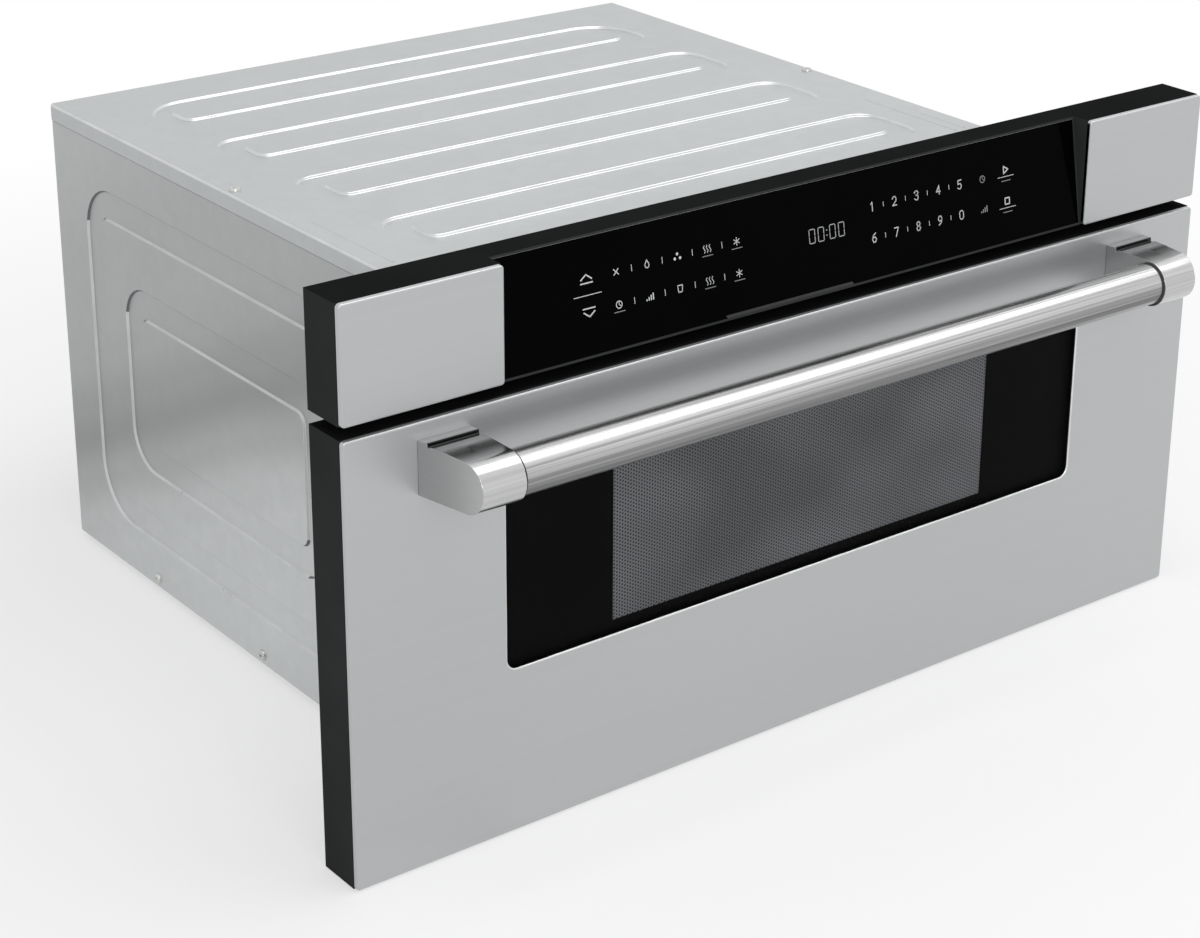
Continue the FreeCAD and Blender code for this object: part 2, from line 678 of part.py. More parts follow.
def shelf_hole_tools():
    """Holes for the shelf screws, through the base pan and the runners."""
    places = (FRONT + d.shelf_hole_front, CASE_BACK - d.shelf_hole_last)
    return [drill("z", (side * d.runner_offset, y, 0), d.shelf_hole_radius, PAN_TOP)
            for side in (-1, 1) for y in places]


def base():
    """Base pan with its turned-up edges, and the two runners under it."""
    depth = (FRAME_BACK, BAY_BACK)
    floor = block(both(HALF_CASE - d.sheet), depth, (d.case_bottom, PAN_TOP))
    walls = [block(ends, depth, (d.case_bottom, d.case_bottom + 2 * d.lip))
             for ends in ((d.sheet - HALF_CASE, 2 * d.sheet - HALF_CASE),
                          (HALF_CASE - 2 * d.sheet, HALF_CASE - d.sheet))]
    screw_holes = [drill("x", (-HALF_CASE, y, d.side_screw_height), d.case_screw_radius, d.case_width)
                   for y in SIDE_SCREWS]
    node(without(joined(floor, *walls), *shelf_hole_tools(), *screw_holes), "base_pan")
    runners = [block(span(side * d.runner_offset, d.runner_width), inset(depth, d.lip),
                     (0, d.case_bottom)) for side in (-1, 1)]
    node(without(group(*runners), *shelf_hole_tools()), "base_runners")


def back_panel():
    """Back panel: vent slots, the fan's grille and the hole of the cable inlet."""
    plate = block(both(HALF_CASE - d.sheet), (BAY_BACK, CASE_BACK), (d.case_bottom, COVER_UNDERSIDE))
    cut = through(BAY_BACK, CASE_BACK)
    inlet = (d.inlet_offset, BAY_BACK, d.inlet_height)
    tools = [drill("y", inlet, d.inlet_bore + d.gland_wall, d.sheet)]
    for row in range(count("vent_count")):
        low = d.slide_height + row * d.vent_pitch
        for middle in (-d.transformer_offset, d.transformer_offset):
            tools.append(block(span(middle, d.vent_width), cut, (low, low + d.vent_height)))
    slots = count("grille_count")
    for row in range(slots):
        middle = d.fan_height + (row - slots // 2) * d.vent_pitch
        tools.append(block(both(d.fan_radius - d.vent_height), cut, span(middle, d.vent_height)))
    node(without(plate, *tools), "back_panel")


def rail_slot():
    """The slot that lets the rails, the rack and the pinion's side of it through the front frame."""
    across = (MIDDLE_WEB - d.slot_margin / 2, PITCH_LINE + 2 * d.gear_module)
    return block(across, through(FRAME_FRONT, FRAME_BACK), span(d.slide_height, d.outer_rail_height))


def hook_slots():
    """Slots that let the latch hooks through the front frame."""
    x = span(-d.hook_offset, 8 * d.sheet)
    return [block(x, through(FRAME_FRONT, FRAME_BACK), span(d.hook_low + i * d.hook_pitch, d.lip))
            for i in (0, 1)]


def front_frame():
    """Front frame: the plate between the case and the fascia, with the mouth of the oven."""
    plate = block(both(HALF_CASE - d.sheet), (FRAME_FRONT, FRAME_BACK), (d.case_bottom, COVER_UNDERSIDE))
    mouth = block(both(HALF_CAVITY), through(FRAME_FRONT, FRAME_BACK), (d.cavity_bottom, d.cavity_top))
    slot = rail_slot()
    node(without(plate, mouth, slot, mirrored(slot), *hook_slots()), "front_frame")


# The fascia.

GLASS_SLOPE = (d.glass_top_setback - d.glass_foot_setback) / (d.overall_height - d.fascia_bottom)


def glass_setback(height):
    """Front skin to the sloping face of the glass bay at a height."""
    return d.glass_foot_setback + GLASS_SLOPE * (height - d.fascia_bottom)


def sloped_slab(half_width, low, high, near, far):
    """A slab that lies along the glass bay's slope, between two setbacks from its face."""
    body = new_body()
    put(body, -half_width, FRONT, 0)
    profile = sketch_on(body, "YZ_Plane")
    polygon(profile, [(glass_setback(low) + near, low), (glass_setback(low) + far, low),
                      (glass_setback(high) + far, high), (glass_setback(high) + near, high)])
    pad(body, profile, 2 * half_width)
    return body


def fascia():
    """Control fascia: hollow black housing, steel end caps, sloping touch glass."""
    height = (d.fascia_bottom, d.overall_height)
    glass_height = inset(height, d.glass_lip)
    neck = d.skin + d.shadow_gap / 2
    whole = block(both(HALF_FRONT), (BODY_FRONT, FRAME_FRONT), height)
    nose = block(both(HALF_FRONT - neck), (FRONT + d.skin, BODY_FRONT), inset(height, neck))
    lip = sloped_slab(HALF_BAY, *height, 0, d.front_thickness - d.glass_top_setback)
    bay = sloped_slab(HALF_BAY, *inset(height, -d.lip), -d.front_thickness, 0)
    seat = sloped_slab(HALF_BAY - d.glass_lip, *glass_height, -OVERRUN, d.touch_glass_thickness)
    hollow_front = FRONT + d.glass_top_setback + d.touch_glass_thickness + d.shell_wall
    hollow = block(both(HALF_FRONT - d.shell_wall), (hollow_front, FRAME_FRONT + OVERRUN),
                   inset(height, d.shell_wall))
    solid = without(joined(whole, nose, lip), bay, seat)
    node(without(solid, hollow), "fascia_housing")
    glass = sloped_slab(HALF_BAY - d.glass_lip, *glass_height, d.sheet / 5, d.touch_glass_thickness)
    node(glass, "touch_glass")
    pan = block((HALF_BAY, HALF_FRONT), (FRONT, FRONT + d.skin_return), height)
    room = block((HALF_BAY - OVERRUN, HALF_FRONT - d.skin),
                 (FRONT + d.skin, FRONT + d.skin_return + OVERRUN), inset(height, d.skin))
    cap = node(without(pan, room), "right_end_cap")
    node(mirrored(cap), "left_end_cap")
    cover = block(both(HALF_FRONT - d.shell_wall), (FRAME_FRONT - d.sheet, FRAME_FRONT),
                  inset(height, d.shell_wall))
    node(cover, "fascia_back_cover")
    board_back = FRAME_FRONT - d.sheet - d.shell_wall
    board_front = board_back - d.board_thickness
    board = block(both(HALF_BAY - d.lip), (board_front, board_back), inset(height, 2 * d.shell_wall))
    node(board, "control_board")
    middle = (d.fascia_bottom + d.overall_height) / 2
    display = block(span(d.display_offset, d.display_width), (hollow_front, board_front),
                    span(middle, d.display_height))
    node(display, "clock_display")


# The drawer's front.

def handle_screw_tools(start, length, radius):
    """Rods at the places of the handle screws, one above the other in each bracket."""
    middle = BRACKET_INNER + d.bracket_width / 2
    heights = span((d.bracket_foot_bottom + d.bracket_foot_top) / 2, d.bar_radius)
    return [rod("y", (side * middle, start, z), radius, length) for side in (-1, 1) for z in heights]


def drawer_skin():
    """Steel skin of the drawer front: a shallow pan with the window cut out of it."""
    body = new_body()
    put(body, 0, FRONT, 0)
    height = (d.front_floor_gap, d.drawer_front_top)
    plate = sketch_on(body, "XZ_Plane")
    rectangle(plate, both(HALF_FRONT), height)
    pad(body, plate, d.skin_return, backwards=True)
    room = sketch_on(body, "XZ_Plane")
    rectangle(room, both(HALF_FRONT - d.skin), inset(height, d.skin))
    pocket(body, room, d.skin_return)
    face = sketch_on(body, "XZ_Plane")
    rectangle(face, both(HALF_FRONT - d.skin), inset(height, d.skin))
    pad(body, face, d.skin, backwards=True)
    window = sketch_on(body, "XZ_Plane")
    rounded_rectangle(window, both(HALF_WINDOW), (d.window_bottom, d.window_top), d.window_radius)
    pocket(body, window, d.skin_return)
    holes = handle_screw_tools(FRONT - OVERRUN, d.skin + 2 * OVERRUN, d.screw_radius)
    node(without(body, *holes), "drawer_skin")


GLASS_BACK = FRONT + d.skin + d.window_glass_thickness
WALL_BACK = BODY_FRONT + 2 * d.shell_wall


def drawer_front():
    """Black body of the drawer front, its window glass, the screen and the inner panel."""
    height = (d.front_floor_gap, d.drawer_front_top)
    neck = d.skin + d.shadow_gap / 2
    panel_front = DOOR_BACK - d.liner
    whole = block(both(HALF_FRONT), (BODY_FRONT, DOOR_BACK), height)
    nose = block(both(HALF_FRONT - neck), (FRONT + d.skin, BODY_FRONT), inset(height, neck))
    room = block(both(HALF_FRONT - 2 * d.shell_wall), (WALL_BACK, DOOR_BACK + OVERRUN),
                 inset(height, 2 * d.shell_wall))
    half_glass = HALF_WINDOW + d.glass_overlap
    glass_height = (d.window_bottom - d.glass_overlap, d.window_top + d.glass_overlap)
    recess = block(both(half_glass), (FRONT, GLASS_BACK), glass_height)
    opening = block(both(d.screen_width / 2 - d.shell_wall), (FRONT, DOOR_BACK + OVERRUN),
                    inset((d.screen_bottom, d.screen_top), d.shell_wall))
    screen_seat = block(both(d.screen_width / 2), (FRONT, GLASS_BACK + d.screen_thickness),
                        (d.screen_bottom, d.screen_top))
    holes = handle_screw_tools(FRONT, d.front_thickness / 2, d.screw_radius)
    node(without(joined(whole, nose), room, recess, opening, screen_seat, *holes), "drawer_front_body")
    node(block(both(half_glass), (FRONT + d.skin, GLASS_BACK), glass_height), "window_glass")
    screen = block(both(d.screen_width / 2), (GLASS_BACK, GLASS_BACK + d.screen_thickness),
                   (d.screen_bottom, d.screen_top))
    node(screen, "window_screen")
    panel = block(both(HALF_FRONT - 2 * d.shell_wall), (panel_front, DOOR_BACK),
                  inset(height, 2 * d.shell_wall))
    inner_opening = block(both(d.screen_width / 2), through(panel_front, DOOR_BACK),
                          (d.screen_bottom, d.tub_top))
    node(without(panel, inner_opening), "inner_panel")


def choke_frame():
    """Choke frame: the rim on the drawer front that plugs the mouth of the oven."""
    across = both(HALF_CAVITY - d.choke_gap)
    height = inset((d.cavity_bottom, d.cavity_top), d.choke_gap)
    rim = block(across, (DOOR_BACK, TUB_FRONT), height)
    bay = block(inset(across, d.choke_rim), through(DOOR_BACK, TUB_FRONT), inset(height, d.choke_rim))
    node(without(rim, bay), "choke_frame")


def handle():
    """Handle: a round bar between two brackets, held from inside by screws."""
    body = new_body()
    put(body, BRACKET_INNER, FRONT, 0)
    profile = sketch_on(body, "YZ_Plane")
    nose_top = d.bar_height + d.nose_radius
    nose_low = d.bar_height - d.nose_radius
    pad_front = -d.bracket_pad
    polygon(profile, [
        (0, d.bracket_foot_bottom), (0, d.bracket_foot_top),
        (pad_front, d.bracket_foot_top + d.bracket_step / 2),
        (pad_front - d.bracket_step / 2, d.bracket_foot_top - d.bracket_step / 2),
        (-d.bar_standoff, nose_top), (-d.bar_standoff, nose_low)])
    pad(body, profile, d.bracket_width)
    nose = sketch_on(body, "YZ_Plane")
    circle_at(nose, (-d.bar_standoff, d.bar_height), d.nose_radius)
    pad(body, nose, d.bracket_width)
    slope = sketch_on(body, "XY_Plane")
    reach = -(d.bar_standoff + d.nose_radius)
    polygon(slope, [(d.bracket_width, 0), (d.bracket_width + OVERRUN, 0),
                    (d.bracket_width + OVERRUN, reach), (d.bracket_nose_width, reach)])
    pocket(body, slope, d.overall_height, backwards=True)
    bore = sketch_on(body, "YZ_Plane")
    circle_at(bore, (-d.bar_standoff, d.bar_height), d.spigot_radius)
    pocket(body, bore, d.spigot_length, backwards=True)
    holes = handle_screw_tools(FRONT - d.screw_grip, d.screw_grip + OVERRUN, d.screw_radius)
    bracket = without(body, *holes)
    node(bracket, "right_handle_bracket")
    node(mirrored(bracket), "left_handle_bracket")
    axis = (FRONT - d.bar_standoff, d.bar_height)
    half_bar = BRACKET_INNER - d.bar_joint
    half_spigots = BRACKET_INNER + d.spigot_length
    grip = rod("x", (-half_bar, *axis), d.bar_radius, 2 * half_bar)
    spigots = rod("x", (-half_spigots, *axis), d.spigot_radius, 2 * half_spigots)
    bore = drill("x", (-half_spigots, *axis), d.bar_bore, 2 * half_spigots)
    node(without(joined(grip, spigots), bore), "handle_bar")
    shanks = handle_screw_tools(FRONT - d.screw_grip, WALL_BACK - FRONT + d.screw_grip, d.screw_radius)
    heads = handle_screw_tools(WALL_BACK, d.screw_radius, 2 * d.screw_radius)
    node(group(*[joined(shank, head) for shank, head in zip(shanks, heads)]), "handle_screws")


def latch_hooks():
    """Latch hooks behind the drawer front: they reach through the frame to the switches."""
    x = span(-d.hook_offset, 3 * d.sheet)
    hooks = []
    for i in (0, 1):
        middle = d.hook_low + i * d.hook_pitch
        arm = block(x, (DOOR_BACK, DOOR_BACK + d.hook_reach), span(middle, d.lip / 2))
        beak = block(x, (DOOR_BACK + d.hook_reach - 2 * d.sheet, DOOR_BACK + d.hook_reach),
                     (middle - d.lip / 2 + d.sheet, middle))
        hooks.append(joined(arm, beak))
    node(group(*hooks), "latch_hooks")


# The oven cavity and the drawer in it.

def cavity():
    """Oven cavity liner: open to the front, with holes for the stirrer and the lamp."""
    shell = block(both(HALF_CAVITY + d.liner), (FRAME_BACK, CAVITY_BACK + d.liner),
                  (d.cavity_bottom - d.liner, d.cavity_top + d.liner))
    room = block(both(HALF_CAVITY), (FRAME_BACK - OVERRUN, CAVITY_BACK), (d.cavity_bottom, d.cavity_top))
    feed = drill("z", (0, STIRRER_Y, d.cavity_top), d.stirrer_motor_radius, d.liner)
    lamp = (d.lamp_offset, FRONT + d.lamp_setback, d.cavity_top)
    node(without(shell, room, feed, drill("z", lamp, d.lamp_hole_radius, d.liner)), "cavity_liner")
    places = (FRONT + d.shelf_hole_front + d.runner_width, CAVITY_BACK - d.runner_width / 2)
    stands = [block(span(side * d.runner_offset, d.runner_width), span(y, d.runner_width),
                    (PAN_TOP, d.cavity_bottom - d.liner)) for side in (-1, 1) for y in places]
    node(group(*stands), "cavity_stands")


def drawer_tub():
    """Drawer tub, open at the top, with the glass tray on its floor."""
    across = both(d.tub_width / 2)
    depth = (TUB_FRONT, TUB_BACK)
    shell = block(across, depth, (d.tub_bottom, d.tub_top))
    rim = d.tub_top + OVERRUN
    room = block(inset(across, d.liner), inset(depth, d.liner), (d.tub_bottom + d.liner, rim))
    view = block(both(d.screen_width / 2), (TUB_FRONT - OVERRUN, TUB_FRONT + 2 * d.liner),
                 (d.screen_bottom, rim))
    node(without(shell, room, view), "drawer_tub")
    floor = d.tub_bottom + d.liner
    tray = block(inset(across, d.liner + d.tray_gap), inset(depth, d.liner + d.tray_gap),
                 (floor, floor + d.tray_thickness))
    node(tray, "glass_tray")


def channel(x, inside, depth, half_height):
    """A rail member: an upright web, and a lip at its top and bottom."""
    whole = block(x, depth, span(d.slide_height, 2 * half_height))
    room = block(inside, through(*depth), span(d.slide_height, 2 * (half_height - d.rail_sheet)))
    return without(whole, room)


def rails():
    """Telescopic rails, one nested in the next, on each side of the cavity."""
    outer_depth = (FRONT + d.rail_start, FRONT + d.rail_start + d.rail_length)
    inner_depth = (DOOR_BACK, FRONT + d.rail_start + d.rail_length)
    lips = RAIL_FACE + OVERRUN
    outer = channel((RAIL_WALL, RAIL_FACE), (RAIL_WALL + d.rail_sheet, lips), outer_depth, HALF_OUTER)
    middle = channel((MIDDLE_WEB, RAIL_FACE), (MIDDLE_WEB + d.rail_sheet, lips), outer_depth, HALF_MIDDLE)
    inner_start = MIDDLE_WEB + d.rail_sheet + 2 * d.rail_clearance
    inner = channel((inner_start, RAIL_FACE), (inner_start - OVERRUN, RAIL_FACE - d.rail_sheet),
                    inner_depth, HALF_INNER)
    for name, rail in (("outer", outer), ("middle", middle), ("inner", inner)):
        node(rail, f"right_{name}_rail")
        node(mirrored(rail), f"left_{name}_rail")


# The drive.

def rack():
    """Toothed rack along the outside of the right inner rail."""
    pitch = math.pi * d.gear_module
    start = PINION_AXIS_Y - RACK_SPARE_TEETH * pitch
    reach = d.drawer_travel + 2 * RACK_SPARE_TEETH * pitch
    teeth = int(value(reach) // value(pitch))
    body = new_body()
    put(body, 0, start, d.slide_height - d.rack_face / 2)
    bar = sketch_on(body, "XY_Plane")
    rectangle(bar, (RAIL_FACE, RACK_ROOT), (0, reach))
    pad(body, bar, d.rack_face)
    tooth = sketch_on(body, "XY_Plane")
    slope = math.tan(PRESSURE_ANGLE)
    tip = PITCH_LINE + RACK_ADDENDUM * d.gear_module
    at_root = pitch / 4 - d.backlash / 2 + slope * (PITCH_LINE - RACK_ROOT)
    at_tip = pitch / 4 - d.backlash / 2 - slope * (tip - PITCH_LINE)
    middle = pitch / 2
    polygon(tooth, [(RACK_ROOT, middle - at_root), (tip, middle - at_tip),
                    (tip, middle + at_tip), (RACK_ROOT, middle + at_root)])
    first = pad(body, tooth, d.rack_face)
    repeated(body, [first], "Y_Axis", teeth, pitch)
    node(body, "drive_rack")


def pinion():
    """Drive pinion with involute teeth on its upright shaft; one tooth space faces the rack's tooth."""
    module = value(d.gear_module)
    teeth = count("pinion_teeth")
    pitch_radius = module * teeth / 2
    base_radius = pitch_radius * math.cos(PRESSURE_ANGLE)
    root_radius = pitch_radius - DEDENDUM * module
    tip_radius = pitch_radius + PINION_ADDENDUM * module
    half_tooth = math.pi / 2 / teeth - value(d.backlash) / 2 / pitch_radius
    pitch_involute = math.tan(PRESSURE_ANGLE) - PRESSURE_ANGLE

    def half_angle(radius):
        tilt = math.acos(min(1.0, base_radius / radius))
        return half_tooth + pitch_involute - (math.tan(tilt) - tilt)

    radii = [root_radius, base_radius, pitch_radius, (pitch_radius + tip_radius) / 2, tip_radius]
    angles = [half_angle(max(r, base_radius)) for r in radii]
    outline = []
    for i in range(teeth):
        middle = math.pi + (i + 0.5) * 2 * math.pi / teeth
        flank = [(r, middle - a) for r, a in zip(radii, angles)]
        flank += [(r, middle + a) for r, a in reversed(list(zip(radii, angles)))]
        outline += [FreeCAD.Vector(r * math.cos(a), r * math.sin(a), 0) for r, a in flank]
    face = Part.Face(Part.makePolygon(outline + outline[:1]))
    wheel = face.extrude(FreeCAD.Vector(0, 0, value(d.pinion_face)))
    shaft_drop = value(d.slide_height - d.pinion_face / 2 - PAN_TOP - d.drive_motor_height)
    shaft = Part.makeCylinder(value(d.drive_shaft_radius), shaft_drop, FreeCAD.Vector(0, 0, -shaft_drop))
    piece = doc.addObject("Part::Feature", "pinion")
    piece.Shape = wheel.fuse(shaft).removeSplitter()
    put(piece, PINION_AXIS_X, PINION_AXIS_Y, d.slide_height - d.pinion_face / 2)
    node(piece, "drive_pinion")


def drive_motor():
    """Geared drive motor, standing on the base pan under the pinion."""
    foot = (PINION_AXIS_X, PINION_AXIS_Y, PAN_TOP)
    motor = rod("z", foot, d.drive_motor_radius, d.drive_motor_height)
    gearbox_low = PAN_TOP + d.drive_motor_height
    gearbox = block(span(PINION_AXIS_X, 2 * d.drive_motor_radius),
                    span(PINION_AXIS_Y, d.gearbox_length),
                    (gearbox_low, gearbox_low + d.gearbox_height))
    bore = rod("z", (PINION_AXIS_X, PINION_AXIS_Y, gearbox_low), d.drive_shaft_radius + d.shaft_clearance,
               d.gearbox_height + OVERRUN)
    node(without(joined(motor, gearbox), bore), "drive_motor")


# Microwave generator, on top of the cavity.

def waveguide():
    """Waveguide: a flat duct from the magnetron to the stirrer."""
    across = both(d.duct_width / 2)
    depth = (FRONT + d.duct_start, CAVITY_BACK + d.duct_overhang)
    height = (DUCT_BOTTOM, DUCT_TOP)
    shell = block(across, depth, height)
    room = block(inset(across, d.duct_wall), inset(depth, d.duct_wall), inset(height, d.duct_wall))
    roof = DUCT_TOP - d.duct_wall
    feed = drill("z", (0, STIRRER_Y, DUCT_BOTTOM), d.stirrer_motor_radius, d.duct_wall)
    shaft = drill("z", (0, STIRRER_Y, roof), d.stirrer_shaft_radius + d.shaft_clearance, d.duct_wall)
    antenna = drill("z", (0, MAGNETRON_Y, roof), d.antenna_radius, d.duct_wall)
    node(without(shell, room, feed, shaft, antenna), "waveguide")


def magnetron():
    """Magnetron: a steel yoke round the anode, its cooling fins and the antenna below."""
    across = both(d.magnetron_width / 2)
    depth = span(MAGNETRON_Y, d.magnetron_depth)
    height = (DUCT_TOP, DUCT_TOP + d.magnetron_height)
    frame = without(block(across, depth, height),
                    block(inset(across, d.yoke_wall), through(*depth), inset(height, d.yoke_wall)),
                    drill("z", (0, MAGNETRON_Y, DUCT_TOP), d.antenna_radius, d.yoke_wall))
    node(frame, "magnetron_yoke")
    inner = inset(height, d.yoke_wall)
    anode = rod("z", (0, MAGNETRON_Y, inner[0]), d.anode_radius, inner[1] - inner[0])
    antenna = rod("z", (0, MAGNETRON_Y, DUCT_TOP - d.antenna_reach), d.antenna_radius,
                  d.antenna_reach + d.yoke_wall)
    node(joined(anode, antenna), "magnetron_anode")
    fins = []
    total = count("fin_count")
    for i in range(total):
        low = inner[0] + (i + 1) * (inner[1] - inner[0]) / (total + 1)
        plate = block(inset(across, d.yoke_wall), depth, (low, low + d.fin_thickness))
        fins.append(without(plate, drill("z", (0, MAGNETRON_Y, low), d.anode_radius, d.fin_thickness)))
    node(group(*fins), "magnetron_fins")


def stirrer():
    """Stirrer: blades on a shaft through the waveguide, its motor above and its cover below."""
    blade_height = d.cavity_top - d.stirrer_drop
    motor_low = DUCT_TOP
    shaft = rod("z", (0, STIRRER_Y, blade_height), d.stirrer_shaft_radius,
                motor_low + d.stirrer_motor_height / 2 - blade_height)
    hub = rod("z", (0, STIRRER_Y, blade_height), 3 * d.stirrer_shaft_radius, 2 * d.liner)
    thick = (blade_height, blade_height + d.sheet)
    arms = [block(both(d.stirrer_radius), span(STIRRER_Y, d.stirrer_blade_width), thick),
            block(both(d.stirrer_blade_width / 2), span(STIRRER_Y, 2 * d.stirrer_radius), thick)]
    node(joined(shaft, hub, *arms), "stirrer_blades")
    motor = without(rod("z", (0, STIRRER_Y, motor_low), d.stirrer_motor_radius, d.stirrer_motor_height),
                    drill("z", (0, STIRRER_Y, motor_low), d.stirrer_shaft_radius + d.shaft_clearance,
                          d.stirrer_motor_height / 2))
    node(motor, "stirrer_motor")
    across = both(d.stirrer_cover_size / 2)
    depth = span(STIRRER_Y, d.stirrer_cover_size)
    height = (d.cavity_top - d.stirrer_cover_depth, d.cavity_top)
    cover = without(block(across, depth, height),
                    block(inset(across, d.liner), inset(depth, d.liner),
                          (height[0] + d.liner, height[1] + OVERRUN)))
    node(cover, "stirrer_cover")


def lamp():
    """Oven lamp: a bulb in a housing on top of the cavity."""
    y = FRONT + d.lamp_setback
    side = d.lamp_housing_size
    height = (DUCT_BOTTOM, DUCT_BOTTOM + d.lamp_housing_height)
    housing = without(block(span(d.lamp_offset, side), span(y, side), height),
                      block(span(d.lamp_offset, side - 2 * d.liner), span(y, side - 2 * d.liner),
                            (height[0] - OVERRUN, height[1] - d.liner)))
    node(housing, "lamp_housing")
    bulb = rod("z", (d.lamp_offset, y, height[0] + d.liner), d.lamp_bulb_radius,
               d.lamp_housing_height - 2 * d.liner)
    node(bulb, "oven_lamp")


# Cooling fan.

def fan():
    """Cooling fan: a shroud on the back panel, an impeller, and a motor on a spider."""
    side = 2 * (d.fan_radius + 2 * d.fan_gap)
    shroud_front = BAY_BACK - d.shroud_depth
    spider = (shroud_front, shroud_front + d.spider_bar / 2)
    shell = block(both(side / 2), (shroud_front, BAY_BACK), span(d.fan_height, side))
    ring_radius = d.fan_radius + d.fan_gap
    bore = drill("y", (0, shroud_front, d.fan_height), ring_radius, d.shroud_depth)
    bar_length = 2 * ring_radius + d.fan_gap
    bars = [block(both(bar_length / 2), spider, span(d.fan_height, d.spider_bar)),
            block(both(d.spider_bar / 2), spider, span(d.fan_height, bar_length))]
    shaft_bore = d.fan_shaft_radius + d.shaft_clearance
    seat = drill("y", (0, shroud_front, d.fan_height), shaft_bore, d.spider_bar)
    node(without(joined(without(shell, bore), *bars), seat), "fan_shroud")
    motor_front = shroud_front - d.fan_motor_length
    shaft_front = shroud_front - d.fan_motor_length / 2
    motor = without(rod("y", (0, motor_front, d.fan_height), d.fan_motor_radius, d.fan_motor_length),
                    rod("y", (0, shaft_front, d.fan_height), shaft_bore, d.fan_motor_length))
    node(motor, "fan_motor")
    hub_front = spider[1] + d.fan_gap
    hub = rod("y", (0, hub_front, d.fan_height), d.fan_hub_radius, d.fan_depth)
    shaft = rod("y", (0, shaft_front, d.fan_height), d.fan_shaft_radius, hub_front - shaft_front)
    blades = []
    total = count("fan_blades")
    tilt = FreeCAD.Rotation(FreeCAD.Vector(1, 0, 0), BLADE_TILT)
    root = BLADE_ROOT * d.fan_hub_radius
    width = BLADE_WIDTH * d.fan_depth
    for i in range(total):
        blade = doc.addObject("Part::Box", "blade")
        bind(blade, "Length", d.fan_radius - root)
        bind(blade, "Width", width)
        bind(blade, "Height", d.liner)
        turn = FreeCAD.Rotation(FreeCAD.Vector(0, 1, 0), i * 360 / total)
        reach = FreeCAD.Vector(value(root), -value(width / 2), 0)
        place = FreeCAD.Placement(FreeCAD.Vector(), turn).multiply(
            FreeCAD.Placement(FreeCAD.Vector(), tilt)).multiply(FreeCAD.Placement(reach, TO_Z))
        centre = FreeCAD.Vector(0, value(hub_front + d.fan_depth / 2), value(d.fan_height))
        blade.Placement = FreeCAD.Placement(centre, TO_Z).multiply(place)
        blades.append(blade)
    node(joined(hub, shaft, *blades), "fan_impeller")


# Power supply in the rear bay.

def power_supply():
    """Transformer, capacitor and diode, standing on the base pan."""
    bay_front = CAVITY_BACK + d.liner + d.rear_bay_gap
    across = span(d.transformer_offset, d.transformer_width)
    depth = (bay_front, bay_front + d.transformer_depth)
    height = (PAN_TOP, PAN_TOP + d.transformer_height)
    limb = d.transformer_width / 6
    core = without(block(across, depth, height),
                   block((across[0] + limb, across[0] + 2 * limb), through(*depth), inset(height, limb)),
                   block((across[1] - 2 * limb, across[1] - limb), through(*depth), inset(height, limb)))
    node(core, "transformer_core")
    wide = inset(depth, -limb / 2)
    coils = []
    middle = PAN_TOP + d.transformer_height / 2
    for ends in ((height[0] + limb, middle - d.sheet), (middle + d.sheet, height[1] - limb)):
        coil = without(block(inset(across, limb), wide, ends),
                       block(inset(across, 2 * limb), depth, through(*ends)))
        coils.append(coil)
    node(group(*coils), "transformer_coils")
    start = d.capacitor_offset - d.capacitor_length / 2
    axis = (bay_front + d.capacitor_radius, PAN_TOP + d.capacitor_radius + d.liner)
    body = rod("x", (start, *axis), d.capacitor_radius, d.capacitor_length)
    node(body, "high_voltage_capacitor")
    clamp_x = span(d.capacitor_offset, d.lip)
    clamp = without(block(clamp_x, span(axis[0], 2 * d.capacitor_radius + 4 * d.liner),
                          (PAN_TOP, axis[1] + d.capacitor_radius + d.liner)),
                    drill("x", (clamp_x[0], *axis), d.capacitor_radius, d.lip))
    node(clamp, "capacitor_clamp")
    diode_start = start + d.capacitor_length
    node(block((diode_start, diode_start + d.diode_length), span(axis[0], d.diode_size),
               span(axis[1], d.diode_size)), "high_voltage_diode")


def noise_filter():
    """Noise filter: a board on four posts, with a coil and a capacitor on it."""
    x = span(d.filter_offset, d.filter_width)
    low = d.inlet_height + d.filter_rise
    z = (low, low + d.filter_height)
    middle = low + d.filter_height / 2
    board_back = BAY_BACK - d.lip / 2
    face = board_back - d.board_thickness
    board = block(x, (face, board_back), z)
    posts = [rod("y", (across, board_back, up), d.filter_post_radius, d.lip / 2)
             for across in inset(x, d.filter_post_edge) for up in inset(z, d.filter_post_edge)]
    coil = rod("y", (x[0] + d.filter_coil_edge, face - d.filter_coil_height, middle),
               d.filter_coil_radius, d.filter_coil_height)
    can = block(span(x[1] - d.filter_can_edge, d.filter_can_width), (face - d.filter_can_depth, face),
                span(middle, d.filter_can_height))
    node(joined(board, coil, can, *posts), "noise_filter")


def inlet_gland():
    """Gland of the mains cable, clamped in the back panel."""
    x, z = d.inlet_offset, d.inlet_height
    start = CASE_BACK - d.inlet_length
    barrel = rod("y", (x, start, z), d.inlet_bore + d.gland_wall, d.inlet_length)
    collar = rod("y", (x, start, z), d.inlet_bore + d.gland_collar, d.inlet_length - d.sheet)
    bore = drill("y", (x, start, z), d.inlet_bore, d.inlet_length)
    node(without(joined(barrel, collar), bore), "inlet_gland")


